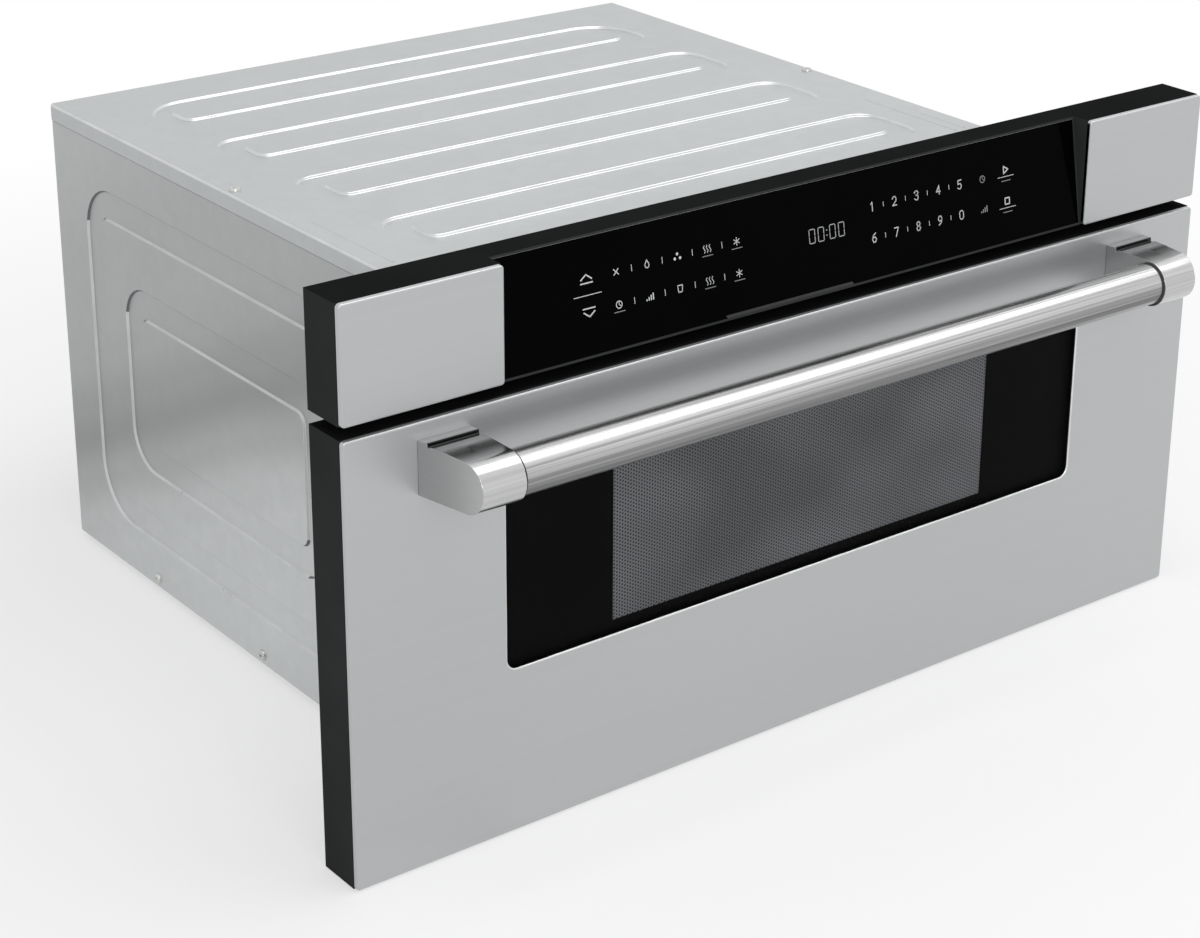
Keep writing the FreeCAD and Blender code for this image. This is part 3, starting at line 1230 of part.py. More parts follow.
def interlock_switches():
    """Interlock switches on a bracket behind the front frame, one beside each latch hook."""
    start = -d.hook_offset + 3 * d.sheet / 2 + d.switch_gap
    end = start + d.switch_width
    depth = (FRAME_BACK, FRAME_BACK + d.hook_reach + d.lip)
    height = inset((d.hook_low, d.hook_low + d.hook_pitch), -3 * d.lip / 2)
    plate = block((end, end + d.liner), depth, height)
    foot = block((start + 2 * d.sheet, end + d.liner), (FRAME_BACK, FRAME_BACK + d.liner), height)
    node(joined(plate, foot), "switch_bracket")
    switches = [block((start, end), span(DOOR_BACK + d.hook_reach, d.switch_depth),
                      span(d.hook_low + i * d.hook_pitch, d.switch_height)) for i in (0, 1)]
    node(group(*switches), "interlock_switches")


top_cover()
left_side = node(side_panel(), "left_side_panel")
node(mirrored(left_side), "right_side_panel")
case_screws()
base()
back_panel()
front_frame()
fascia()
drawer_skin()
drawer_front()
choke_frame()
handle()
latch_hooks()
cavity()
drawer_tub()
rails()
rack()
pinion()
drive_motor()
waveguide()
magnetron()
stirrer()
lamp()
fan()
power_supply()
noise_filter()
inlet_gland()
interlock_switches()

doc.recompute()

for piece in doc.Objects:
    if "Invalid" in piece.State or "Error" in piece.State:
        raise RuntimeError(f"{piece.Label} failed: {piece.State}")
for piece in sub_parts:
    if piece.Shape.isNull() or not piece.Shape.isValid() or not piece.Shape.Solids:
        raise RuntimeError(f"{piece.Label} has no sound shape")

os.makedirs("parts", exist_ok=True)
for piece in sub_parts:
    piece.Shape.exportStep(f"parts/{piece.Label}.step")
print(len(sub_parts), "sub-parts written")
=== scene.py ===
"""Dressed model of the built-in microwave drawer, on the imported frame.

Lengths in this script are millimetres unless a name ends in _m; meshes are scaled to metres when
they are made.  X runs along the front, Y from the front to the back, Z up.
"""
import json
import math

import bmesh
import bpy
from mathutils import Matrix, Vector, geometry

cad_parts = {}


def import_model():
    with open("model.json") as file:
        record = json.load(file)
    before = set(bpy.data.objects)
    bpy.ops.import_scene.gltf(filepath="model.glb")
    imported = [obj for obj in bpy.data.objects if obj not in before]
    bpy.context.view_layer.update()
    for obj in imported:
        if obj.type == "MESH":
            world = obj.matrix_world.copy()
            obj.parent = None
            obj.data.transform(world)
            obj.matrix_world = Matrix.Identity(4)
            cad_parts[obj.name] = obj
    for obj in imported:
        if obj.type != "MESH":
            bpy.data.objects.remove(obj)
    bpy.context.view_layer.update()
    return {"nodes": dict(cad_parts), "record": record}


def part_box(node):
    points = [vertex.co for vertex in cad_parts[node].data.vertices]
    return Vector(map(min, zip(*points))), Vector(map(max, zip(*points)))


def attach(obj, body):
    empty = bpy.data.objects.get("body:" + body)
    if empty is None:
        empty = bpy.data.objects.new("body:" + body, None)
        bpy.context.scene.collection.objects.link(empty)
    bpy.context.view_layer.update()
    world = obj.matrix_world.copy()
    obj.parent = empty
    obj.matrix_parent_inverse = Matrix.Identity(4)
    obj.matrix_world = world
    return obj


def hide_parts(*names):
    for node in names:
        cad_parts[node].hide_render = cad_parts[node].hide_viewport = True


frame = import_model()

MM = 0.001
LEAST_RADIUS = 0.05
MERGE_REACH_M, SLIVER_M = 2e-6, 1e-7
slot_of = {part["node"]: part["material_slot"] for part in frame["record"]["subparts"]}


def node_box(name):
    """A node's lowest and highest corner, in mm."""
    low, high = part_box(name)
    return low / MM, high / MM


SKIN_LOW, SKIN_HIGH = node_box("drawer_skin")
FRONT = SKIN_LOW.y
HALF_FRONT = SKIN_HIGH.x


def back_of_front(setback):
    """Row Y of a place that lies so far behind the front skin."""
    return FRONT + setback


def linked(name, data):
    """A new object, linked into the scene."""
    thing = bpy.data.objects.new(name, data)
    bpy.context.scene.collection.objects.link(thing)
    return thing


def quarter_turn(steps):
    """Angles from 0 to 90 degrees."""
    return [math.radians(90 * i / steps) for i in range(steps + 1)]


def full_turn(sides):
    """Angles once round, the last one short of the first."""
    return [2 * math.pi * k / sides for k in range(sides)]


# ---------------------------------------------------------------- mesh helpers

def corner_loop(across, up, radii, steps=6):
    """Points of a rectangle with rounded corners, anticlockwise from its lower left straight."""
    (x0, x1), (y0, y1) = across, up
    if not isinstance(radii, (tuple, list)):
        radii = (radii,) * 4
    points = []
    corners = ((x0, y0, 180), (x1, y0, 270), (x1, y1, 0), (x0, y1, 90))
    signs = ((1, 1), (-1, 1), (-1, -1), (1, -1))
    for (x, y, start), (sx, sy), radius in zip(corners, signs, radii):
        r = max(radius, LEAST_RADIUS)
        for i in range(steps + 1):
            angle = math.radians(start + 90 * i / steps)
            points.append((x + sx * r + r * math.cos(angle), y + sy * r + r * math.sin(angle)))
    return points


def shrink(ends, by):
    """A span made shorter at both ends."""
    return ends[0] + by, ends[1] - by


class Shell:
    """Collects points and faces in mm, and turns them into an object."""

    def __init__(self):
        self.points = []
        self.faces = []

    def loop(self, points):
        first = len(self.points)
        self.points.extend(points)
        return list(range(first, len(self.points)))

    def bridge(self, a, b, closed=True):
        n = len(a)
        for i in range(n if closed else n - 1):
            j = (i + 1) % n
            self.faces.append((a[i], a[j], b[j], b[i]))

    def stack(self, loops):
        for a, b in zip(loops, loops[1:]):
            self.bridge(a, b)

    def cap(self, loop):
        self.faces.append(tuple(loop))

    def sheet(self, flat_outline, indices, holes=()):
        """Fills a flat outline with holes in it; each outline is (2-D points, indices)."""
        outlines = [(flat_outline, indices), *holes]
        flat = [[Vector((x, y, 0)) for x, y in points] for points, _ in outlines]
        order = [index for _, group in outlines for index in group]
        for triangle in geometry.tessellate_polygon(flat):
            self.faces.append(tuple(order[i] for i in triangle))

    def tube(self, path, radius, sides=10, closed=True, squash=1.0):
        """A round bead along a path of 3-D points."""
        rings = []
        count = len(path)
        points = [Vector(p) for p in path]
        up = Vector((0, 0, 1))
        for i, point in enumerate(points):
            before = points[i - 1] if closed or i else point
            after = points[(i + 1) % count] if closed or i < count - 1 else point
            forward = (after - before).normalized()
            side = forward.cross(up)
            if side.length < 0.05:
                side = forward.cross(Vector((0, 1, 0)))
            side.normalize()
            rise = side.cross(forward).normalized()
            ring = [point + radius * (math.cos(a) * side + squash * math.sin(a) * rise)
                    for a in full_turn(sides)]
            rings.append(self.loop([tuple(p) for p in ring]))
        self.stack(rings)
        if closed:
            self.bridge(rings[-1], rings[0])
        else:
            self.cap(list(reversed(rings[0])))
            self.cap(rings[-1])

    def lathe(self, axis_point, axis, profile, sides=48):
        """Turns a profile of (place along the axis, radius) round an axis."""
        axis = Vector(axis).normalized()
        side = axis.orthogonal().normalized()
        other = axis.cross(side)
        base = Vector(axis_point)
        rings = []
        for along, radius in profile:
            ring = [base + axis * along + radius * (side * math.cos(a) + other * math.sin(a))
                    for a in full_turn(sides)]
            rings.append(self.loop([tuple(p) for p in ring]))
        self.stack(rings)
        return rings

    def object(self, name, body, material, slot, angle=35, facing=None):
        """Makes the object, riding on a body, with smooth faces and sharp edges over an angle."""
        mesh = bpy.data.meshes.new(name)
        mesh.from_pydata([tuple(c * MM for c in p) for p in self.points], [], self.faces)
        bm = bmesh.new()
        bm.from_mesh(mesh)
        bmesh.ops.remove_doubles(bm, verts=bm.verts, dist=MERGE_REACH_M)
        bmesh.ops.dissolve_degenerate(bm, edges=bm.edges, dist=SLIVER_M)
        bmesh.ops.recalc_face_normals(bm, faces=bm.faces)
        if facing is not None:
            lean = sum((face.normal * face.calc_area() for face in bm.faces), Vector())
            if lean.dot(Vector(facing)) < 0:
                bmesh.ops.reverse_faces(bm, faces=bm.faces)
        bm.to_mesh(mesh)
        bm.free()
        for polygon in mesh.polygons:
            polygon.use_smooth = True
        mesh.set_sharp_from_angle(angle=math.radians(angle))
        mesh.materials.append(material)
        piece = linked(name, mesh)
        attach(piece, body)
        return piece


def bevelled(piece, width, segments=2, angle=30):
    """Rounds a piece's edges."""
    bevel = piece.modifiers.new("edges", "BEVEL")
    bevel.width = width * MM
    bevel.segments = segments
    bevel.limit_method = "ANGLE"
    bevel.angle_limit = math.radians(angle)
    bevel.harden_normals = False
    return piece


def weighted(piece):
    """Keeps flat faces flat in the shading."""
    normals = piece.modifiers.new("normals", "WEIGHTED_NORMAL")
    normals.keep_sharp = True
    return piece


def thick(piece, thickness):
    """Gives a sheet its thickness, behind its outer face."""
    solid = piece.modifiers.new("sheet", "SOLIDIFY")
    solid.thickness = thickness * MM
    solid.offset = -1
    return piece


# ---------------------------------------------------------------- materials

MATERIALS = {}
VECTOR_MATH = "ShaderNodeVectorMath"
ROUGHNESS_SPREAD = 0.05
HOLE_PITCH = 2.6
REFLECTION_BAND_SLANT, REFLECTION_BAND_WAVE = 0.469, 0.02


def new_material(name, base, metallic=0.0, roughness=0.5, **constants):
    """A material with one principled shader, and constants set on its own sockets."""
    material = MATERIALS[name] = bpy.data.materials.new(name)
    material.use_nodes = True
    shader = shader_of(material)
    shader.inputs["Base Color"].default_value = (*base, 1)
    shader.inputs["Metallic"].default_value = metallic
    shader.inputs["Roughness"].default_value = roughness
    for socket, number in constants.items():
        shader.inputs[socket.replace("_", " ")].default_value = number
    return material


def shader_of(material):
    return material.node_tree.nodes["Principled BSDF"]


def feed(holder, socket, source):
    """Sets a socket to a constant, or wires another node's output to it."""
    if isinstance(source, bpy.types.NodeSocket):
        holder.node_tree.links.new(source, socket)
    else:
        socket.default_value = source


def add(holder, kind, inputs=None, **settings):
    """A node in a material or in the world, with its attributes and what its inputs get."""
    node = holder.node_tree.nodes.new(kind)
    for attribute, setting in settings.items():
        setattr(node, attribute, setting)
    for socket, source in (inputs or {}).items():
        feed(holder, node.inputs[socket], source)
    return node


def calculated(holder, operation, *operands, kind="ShaderNodeMath"):
    """What a math node makes of its operands: numbers or other nodes' outputs."""
    node = add(holder, kind, dict(enumerate(operands)), operation=operation)
    return node.outputs["Value" if operation == "LENGTH" else 0]


def object_place(material, scale=(1, 1, 1), turn=(0, 0, 0)):
    """Object coordinates in metres, stretched and turned."""
    place = add(material, "ShaderNodeTexCoord").outputs["Object"]
    mapping = add(material, "ShaderNodeMapping", {"Vector": place, "Scale": scale, "Rotation": turn})
    return mapping.outputs["Vector"]


def axis_of(material, output, axis):
    """One axis of the object's coordinates or of its normal."""
    place = add(material, "ShaderNodeTexCoord").outputs[output]
    return add(material, "ShaderNodeSeparateXYZ", {0: place}).outputs[axis]


def noise(material, scale, stretch=(1, 1, 1), detail=3.0):
    """Smooth noise from 0 to 1."""
    return add(material, "ShaderNodeTexNoise", {
        "Vector": object_place(material, stretch), "Scale": scale, "Detail": detail, "Roughness": 0.55,
    }).outputs["Fac"]


def ramp(holder, source, low, high, start=0.0, end=1.0):
    """A grey value between two numbers, from a texture between two places."""
    return add(holder, "ShaderNodeMapRange", {
        "Value": source, "From Min": start, "From Max": end, "To Min": low, "To Max": high,
    }).outputs["Result"]


def blended(material, share, first, second, blend_type="MIX"):
    """Two colours, mixed by a share or multiplied."""
    return add(material, "ShaderNodeMix", {0: share, 6: first, 7: second}, data_type="RGBA",
               blend_type=blend_type).outputs[2]


def tint(material, source, dark, light, start=0.0, end=1.0):
    """A colour between two, from a texture."""
    return blended(material, ramp(material, source, 0, 1, start, end), (*dark, 1), (*light, 1))


def multiplied(material, colour, factor):
    """A colour times a grey."""
    return blended(material, 1.0, colour, factor, "MULTIPLY")


def scaled(colour, factor):
    return tuple(min(1.0, c * factor) for c in colour)


def grey_curve(material, source, stops):
    """A grey value along a source, eased between (place, grey) stops."""
    low, high = stops[0][0], stops[-1][0]
    curve = add(material, "ShaderNodeValToRGB", {0: ramp(material, source, 0, 1, low, high)})
    curve.color_ramp.interpolation = "EASE"
    elements = curve.color_ramp.elements
    while len(elements) < len(stops):
        elements.new(0.5)
    for element, (place, grey) in zip(elements, stops):
        element.position = (place - low) / (high - low)
        element.color = (grey, grey, grey, 1)
    return curve.outputs["Color"]


def graded(material, colour, output, axis, stops):
    """A colour times a grey curve along one axis, where there are stops for it; used to paint light and shade
    by facing or by place.
    """
    if not stops:
        return colour
    return multiplied(material, colour, grey_curve(material, axis_of(material, output, axis), stops))


def finished(material, colour, roughness=None, relief=None, strength=0.0, depth=0.0):
    """Wires a material's colour, roughness and relief, whose depth is in mm."""
    inputs = shader_of(material).inputs
    feed(material, inputs["Base Color"], colour)
    if roughness is not None:
        feed(material, inputs["Roughness"], roughness)
    if relief is not None:
        bump = add(material, "ShaderNodeBump",
                   {"Strength": strength, "Distance": depth * MM, "Height": relief})
        feed(material, inputs["Normal"], bump.outputs["Normal"])
    return material


def painted_reflection_band(material, stops):
    """A painted reflection: a grey band along a slanting, wavy height, object Z plus a share of Y, both in
    metres.
    """
    height = calculated(material, "MULTIPLY_ADD", axis_of(material, "Object", "Y"), REFLECTION_BAND_SLANT,
                        axis_of(material, "Object", "Z"))
    wavy = calculated(material, "MULTIPLY_ADD", noise(material, 5.0, detail=1.0), REFLECTION_BAND_WAVE, height)
    return grey_curve(material, wavy, stops)


def galvanised_sheet(name, base, painted_reflection_stops=None):
    """Zinc-coated sheet: faint crystal patches and a fine speckle, on request a slanting band of painted
    reflection.
    """
    material = new_material(name, base, 0.5, 0.45)
    cells = add(material, "ShaderNodeTexVoronoi",
                {"Vector": object_place(material), "Scale": 95.0, "Randomness": 1.0})
    patch = add(material, "ShaderNodeSeparateColor", {"Color": cells.outputs["Color"]})
    crystals = calculated(material, "MULTIPLY_ADD", patch.outputs["Red"], 0.35, noise(material, 7.0))
    colour = tint(material, crystals, scaled(base, 0.95), scaled(base, 1.03), 0.35, 1.0)
    if painted_reflection_stops:
        colour = multiplied(material, colour, painted_reflection_band(material, painted_reflection_stops))
    return finished(material, colour, ramp(material, crystals, 0.42, 0.48, 0.3, 1.0),
                    noise(material, 420.0), 0.06, 0.04)


def brushed(name, base, roughness, lines=(2.0, 700.0, 700.0), metallic=0.92, depth=0.03, streak=0.05,
            strength=0.35, painted_light_by_facing=None, painted_light_setback_stops=()):
    """Brushed steel; the lines run along the axis that is stretched least; on request a grey by facing or by
    setback that paints reflection and shade.
    """
    material = new_material(name, base, metallic, roughness, Anisotropic=0.45)
    fine = noise(material, 1.0, lines, 2.0)
    colour = tint(material, fine, scaled(base, 1 - streak), scaled(base, 1 + streak), 0.3, 0.7)
    # Grading by facing paints reflection and shade.
    colour = graded(material, colour, "Normal", "Z", painted_light_by_facing)
    # Grading by setback paints shade and reflection.
    along = [(back_of_front(setback) * MM, grey) for setback, grey in painted_light_setback_stops]
    colour = graded(material, colour, "Object", "Y", along)
    mixed = calculated(material, "MULTIPLY_ADD", fine, 0.5, noise(material, 3.0))
    gloss = ramp(material, mixed, roughness - ROUGHNESS_SPREAD, roughness + ROUGHNESS_SPREAD, 0.3, 1.1)
    return finished(material, colour, gloss, fine, strength, depth)


def moulded(name, base, roughness=0.5, grain=900.0, painted_light_by_facing=None, **constants):
    """Moulded plastic or paint with a fine grain and slightly uneven gloss; on request a grey by facing that
    paints shade.
    """
    material = new_material(name, base, 0.0, roughness, **constants)
    broad = noise(material, 9.0)
    colour = tint(material, broad, scaled(base, 0.88), scaled(base, 1.12), 0.3, 0.7)
    # Grading by facing paints shade.
    colour = graded(material, colour, "Normal", "Z", painted_light_by_facing)
    gloss = ramp(material, broad, roughness - 0.05, roughness + 0.06, 0.3, 0.7)
    return finished(material, colour, gloss, noise(material, grain), 0.3, 0.04)


def dull_metal(name, base, roughness=0.4, metallic=0.85):
    """Plain sheet or cast metal with small stains."""
    material = new_material(name, base, metallic, roughness)
    stains = noise(material, 30.0, detail=5.0)
    colour = tint(material, stains, scaled(base, 0.85), scaled(base, 1.08), 0.3, 0.7)
    gloss = ramp(material, stains, roughness - 0.08, roughness + 0.1, 0.3, 0.7)
    return finished(material, colour, gloss, noise(material, 320.0), 0.2, 0.05)


def perforated(name):
    """Painted steel, unevenly grey, with a fine staggered pattern of holes."""
    material = new_material(name, (0.1, 0.1, 0.105), 0.3, 0.5)
    pitches_per_metre = 1 / HOLE_PITCH / MM
    row_gap = math.sqrt(3)
    rows = []
    for offset in (0.0, 0.5):
        reach = object_place(material, (pitches_per_metre / row_gap, 1, pitches_per_metre))
        for operation, *operand in (("ADD", (offset, 0, offset)), ("FRACTION",),
                                    ("SUBTRACT", (0.5, 0.5, 0.5)), ("MULTIPLY", (row_gap, 0, 1)),
                                    ("LENGTH",)):
            reach = calculated(material, operation, reach, *operand, kind=VECTOR_MATH)
        rows.append(reach)
    nearest = calculated(material, "MINIMUM", *rows)
    hole_edge = (0.24, 0.34)
    steel = tint(material, nearest, (0.016, 0.017, 0.019), (0.205, 0.211, 0.224), *hole_edge)
    uneven = ramp(material, noise(material, 8.0, (1, 1, 1.6), 1.0), 0.74, 1.12, 0.35, 0.65)
    return finished(material, multiplied(material, steel, uneven), None,
                    ramp(material, nearest, 0, 1, *hole_edge), 0.4, 0.1)


def circuit_board(name):
    """Green board with paler copper tracks under the mask."""
    material = new_material(name, (0.02, 0.14, 0.06), 0.0, 0.32)
    upright = object_place(material, turn=(math.radians(90), 0, 0))
    tracks = add(material, "ShaderNodeTexBrick", {
        "Vector": upright, "Scale": 60.0, "Mortar Size": 0.03, "Color1": (0.015, 0.11, 0.045, 1),
        "Color2": (0.02, 0.15, 0.06, 1), "Mortar": (0.06, 0.28, 0.12, 1)}, offset=0.5)
    return finished(material, tracks.outputs["Color"], None, noise(material, 150.0), 0.2, 0.1)


def banded(name, base, metallic, roughness, bands, dark, light, strength, depth):
    """Close bands of two colours; bands gives their axis, scale and distortion."""
    material = new_material(name, base, metallic, roughness)
    axis, scale, distortion = bands
    wave = add(material, "ShaderNodeTexWave",
               {"Vector": object_place(material), "Scale": scale, "Distortion": distortion},
               wave_type="BANDS", bands_direction=axis).outputs["Fac"]
    return finished(material, tint(material, wave, dark, light), None, wave, strength, depth)


def marked(name, base, roughness, scale, contrast, **constants):
    """A glossy face with faint handling marks."""
    material = new_material(name, base, 0.0, roughness, **constants)
    marks = noise(material, scale, detail=4.0)
    colour = tint(material, marks, scaled(base, 1 - contrast), scaled(base, 1 + contrast), 0.3, 0.7)
    return finished(material, colour, ramp(material, marks, roughness, roughness + 0.05, 0.45, 0.75))


def clear_glass(name, base, alpha, roughness=0.03, specular=0.12):
    """Glass that shows what lies behind it."""
    return marked(name, base, roughness, 12.0, 0.1, Alpha=alpha, Specular_IOR_Level=specular)


def back_printed(name, base, roughness=0.05, specular=0.08):
    """Black glass, printed on its back."""
    return marked(name, base, roughness, 10.0, 0.2, Specular_IOR_Level=specular)


LINES_ALONG_X = (1.5, 560.0, 560.0)
LINES_ALONG_Y = (500.0, 3.0, 500.0)
BRIGHT_STEEL = (0.60, 0.602, 0.602)
# Grey by facing for the bar: painted reflection, darkest below the middle, with a light line underneath and
# lighter towards the top.
BAR_PAINTED_REFLECTION = ((-1.0, 0.8), (-0.72, 0.7), (-0.5, 0.3), (0.0, 0.5), (0.42, 0.85), (0.75, 0.86), (1.0, 1.0))
# Grey by facing for the black body: painted shade that darkens faces turned up.
BODY_TOP_PAINTED_SHADE = ((0.0, 1.0), (0.3, 1.0), (0.9, 0.36), (1.0, 0.36))

# One material for each slot of the record, then those of single faces.
galvanised_sheet("galvanised", (0.53, 0.547, 0.552))
dull_metal("zinc_screw", (0.62, 0.62, 0.60), 0.3)
moulded("black_body", (0.040, 0.0415, 0.042), 0.75, Specular_IOR_Level=0.0, painted_light_by_facing=BODY_TOP_PAINTED_SHADE)
brushed("stainless", (0.51, 0.522, 0.528), 0.36, metallic=0.7, streak=0.012, strength=0.08)
brushed("polished_stainless", BRIGHT_STEEL, 0.25, LINES_ALONG_X, metallic=1.0, depth=0.06, streak=0.36,
        strength=0.5, painted_light_by_facing=BAR_PAINTED_REFLECTION)
back_printed("black_glass", (0.0012, 0.0012, 0.0014), specular=0.012)
clear_glass("window_glass", (0.004, 0.004, 0.004), 0.12, specular=0.03)
perforated("perforated_steel")
circuit_board("circuit_board")
moulded("display", (0.02, 0.028, 0.028), 0.2)
moulded("dark_enamel", (0.045, 0.045, 0.05), 0.42, 500.0)
brushed("cavity_steel", (0.46, 0.46, 0.45), 0.36, LINES_ALONG_Y, streak=0.02, strength=0.06)
clear_glass("tray_glass", (0.45, 0.52, 0.52), 0.42, 0.05, 0.5)
dull_metal("aluminised", (0.5, 0.5, 0.49), 0.42)
banded("copper", (0.5, 0.2, 0.08), 0.8, 0.3, ("Z", 160.0, 0.4), (0.25, 0.085, 0.03),
       (0.62, 0.27, 0.11), 0.7, 0.4)
dull_metal("fin_aluminium", (0.66, 0.66, 0.66), 0.33)
moulded("white_plastic", (0.68, 0.68, 0.64), 0.45)
moulded("grey_plastic", (0.24, 0.24, 0.25), 0.5)
clear_glass("lamp_glass", (0.9, 0.88, 0.8), 0.45, 0.04, 0.5)
banded("core_steel", (0.15, 0.145, 0.14), 0.6, 0.45, ("Y", 300.0, 0.2), (0.09, 0.085, 0.08),
       (0.2, 0.195, 0.185), 0.5, 0.2)
moulded("rubber", (0.025, 0.025, 0.025), 0.65)
brushed("rail_steel", (0.42, 0.43, 0.43), 0.32, LINES_ALONG_Y)

# The sides carry a painted reflection: darkest in a slanting band across their middle, lighter towards the
# foot.
SIDE_SHEET = galvanised_sheet("galvanised_side_painted_reflection", (0.75, 0.77, 0.775), painted_reflection_stops=(
    (0.05, 0.92), (0.14, 0.86), (0.17, 0.8), (0.21, 0.6), (0.245, 0.44), (0.27, 0.49), (0.31, 0.58),
    (0.34, 0.6), (0.40, 0.6), (0.49, 0.66)))
# Glossier, lighter copy for the top's groove walls: a glossier finish, and a lighter colour that paints their
# highlight lines.
PRESSED_EDGE_HIGHLIGHT = dull_metal("pressed_edge_highlight", (0.66, 0.67, 0.67), 0.3, 0.9)
# Lighter, glossier copy for the window's cut edge: a polished edge, and a lighter colour that paints its
# highlight line.
CUT_EDGE_HIGHLIGHT = dull_metal("cut_edge_highlight", (0.8, 0.805, 0.805), 0.25, 0.95)
# Light and dark copies of the sheet for the sides' groove walls: painted highlight and painted shade.
LIT_EDGE = dull_metal("lit_edge", (0.62, 0.63, 0.63), 0.34, 0.6)
SHADED_EDGE = dull_metal("shaded_edge", (0.16, 0.165, 0.17), 0.5, 0.3)
# Grey along the setback: painted shade, near black in the notch behind the pad, and painted reflection,
# darker bands 34 and 13 mm in front of the skin.
BRACKET_TOP = brushed("bracket_top", BRIGHT_STEEL, 0.17, LINES_ALONG_X, metallic=1.0, depth=0.06, streak=0.1,
                      strength=0.3, painted_light_setback_stops=(
                          (-61.0, 0.9), (-46.0, 1.0), (-34.0, 0.75), (-24.0, 1.0), (-13.0, 0.55),
                          (-11.2, 0.06), (-8.8, 0.06), (-8.2, 1.0), (0.0, 1.0)))
POLISHED_FACE = brushed("polished_face", (0.52, 0.522, 0.522), 0.3, (60.0, 60.0, 500.0), metallic=1.0,
                        streak=0.02, strength=0.05)

for name, node in frame["nodes"].items():
    for holder in node.material_slots:
        holder.material = MATERIALS[slot_of[name]]


# ---------------------------------------------------------------- galvanised case

GROOVE_DEPTH = 2.0
# Steps of a groove's wall: distance in from its edge, and depth.
GROOVE_WALL = ((0.0, 0.0), (0.35, 0.1), (0.75, 0.5), (1.25, 1.5), (1.65, 1.9), (2.0, 2.0))
ISLAND_RADIUS = 8.0
SHEET = 1.0
TOP_BEND = 2.0
TOP_RINGS, TOP_RING_PITCH = 4, 111.0
TOP_RING_SETBACK, TOP_RING_LENGTH, TOP_RING_REACH, TOP_RING_WIDTH = 136.4, 69.0, 227.0, 20.0
TOP_CORNER, LAST_BACK_CORNER = 22.0, 39.0
TOP_BEADS = ((-257, 128, 228), (247, 127, 227), (257, 127, 176))
SIDE_FACE, SIDE_TOP, SIDE_LIP_TOP, SIDE_LIP_STEP = 272.0, 352.6, 365.0, 1.2
SIDE_RING_WIDTH = 25.0
# Setbacks, heights and corner radii of the rings on a side.
SIDE_OUTER_RING = ((118.0, 540.0), (42.0, 318.0), (45, 45, 41, 45))
SIDE_INNER_RING = ((201.5, 484.0), (101.5, 252.5), (32, 32, 32, 32))
TOP_SCREW = (265.0, 318.5, 366.0)
FOOT_SCREWS, FOOT_SCREW_SETBACK, FOOT_SCREW_PITCH, FOOT_SCREW_HEIGHT = 3, 137.2, 159.6, 12.0
SCREW_HEAD, SCREW_HEIGHT, SCREW_SIDES = 4.2, 2.2, 28


def ring_groove(shell, place, across, up, radii, width):
    """A pressed ring: returns its outer outline and the outline of the land inside it."""
    levels = [(t, depth, [r - t for r in radii]) for t, depth in GROOVE_WALL]
    levels += [(width - t, depth, [ISLAND_RADIUS + t] * 4) for t, depth in reversed(GROOVE_WALL)]
    loops = []
    for t, depth, corner in levels:
        flat = corner_loop(shrink(across, t), shrink(up, t), corner, 8)
        loops.append((flat, shell.loop([place(u, v, depth) for u, v in flat])))
    shell.stack([indices for _, indices in loops])
    return loops[0], loops[-1]


def on_groove_wall(depth):
    return 0.2 < depth < GROOVE_DEPTH - 0.2


def top_cover():
    """Top cover: four ring grooves, and a rolled edge and a fold on each side."""
    low, high = node_box("top_cover")
    top, half = high.z, high.x
    shell = Shell()

    def place(x, y, depth):
        return (x, y, top - depth)

    holes = []
    for ring in range(TOP_RINGS):
        start = back_of_front(TOP_RING_SETBACK + TOP_RING_PITCH * ring)
        back_corner = LAST_BACK_CORNER if ring == TOP_RINGS - 1 else TOP_CORNER
        outer, land = ring_groove(shell, place, (-TOP_RING_REACH, TOP_RING_REACH),
                                  (start, start + TOP_RING_LENGTH),
                                  (TOP_CORNER, TOP_CORNER, back_corner, back_corner), TOP_RING_WIDTH)
        holes.append(outer)
        shell.sheet(*land)
    flat = [(-half + TOP_BEND, low.y), (half - TOP_BEND, low.y), (half - TOP_BEND, high.y),
            (-half + TOP_BEND, high.y)]
    shell.sheet(flat, shell.loop([place(x, y, 0) for x, y in flat]), holes)
    for side in (-1, 1):
        rows = []
        for y in (low.y, high.y):
            row = [(side * (half - TOP_BEND + TOP_BEND * math.sin(angle)), y,
                    top - TOP_BEND + TOP_BEND * math.cos(angle)) for angle in quarter_turn(6)]
            rows.append(shell.loop([*row, (side * half, y, low.z)]))
        shell.bridge(*rows, closed=False)
    cover = shell.object("case_top", "cabinet", MATERIALS["galvanised"], "galvanised", facing=(0, 0, 1))
    # Groove walls take the glossier, lighter copy, whose colour paints highlight lines.
    cover.data.materials.append(PRESSED_EDGE_HIGHLIGHT)
    for polygon in cover.data.polygons:
        if on_groove_wall(top - polygon.center.z / MM) and polygon.normal.z < 0.97:
            polygon.material_index = 1
    thick(cover, SHEET)
    weighted(cover)
    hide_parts("top_cover")

    beads = Shell()
    for x, start, end in TOP_BEADS:
        path = [(x, back_of_front(s), top - 0.15) for s in (start, start + 4, end - 4, end)]
        beads.tube(path, 1.1, 8, closed=False, squash=0.45)
    beads.object("case_top_beads", "cabinet", MATERIALS["galvanised"], "galvanised")


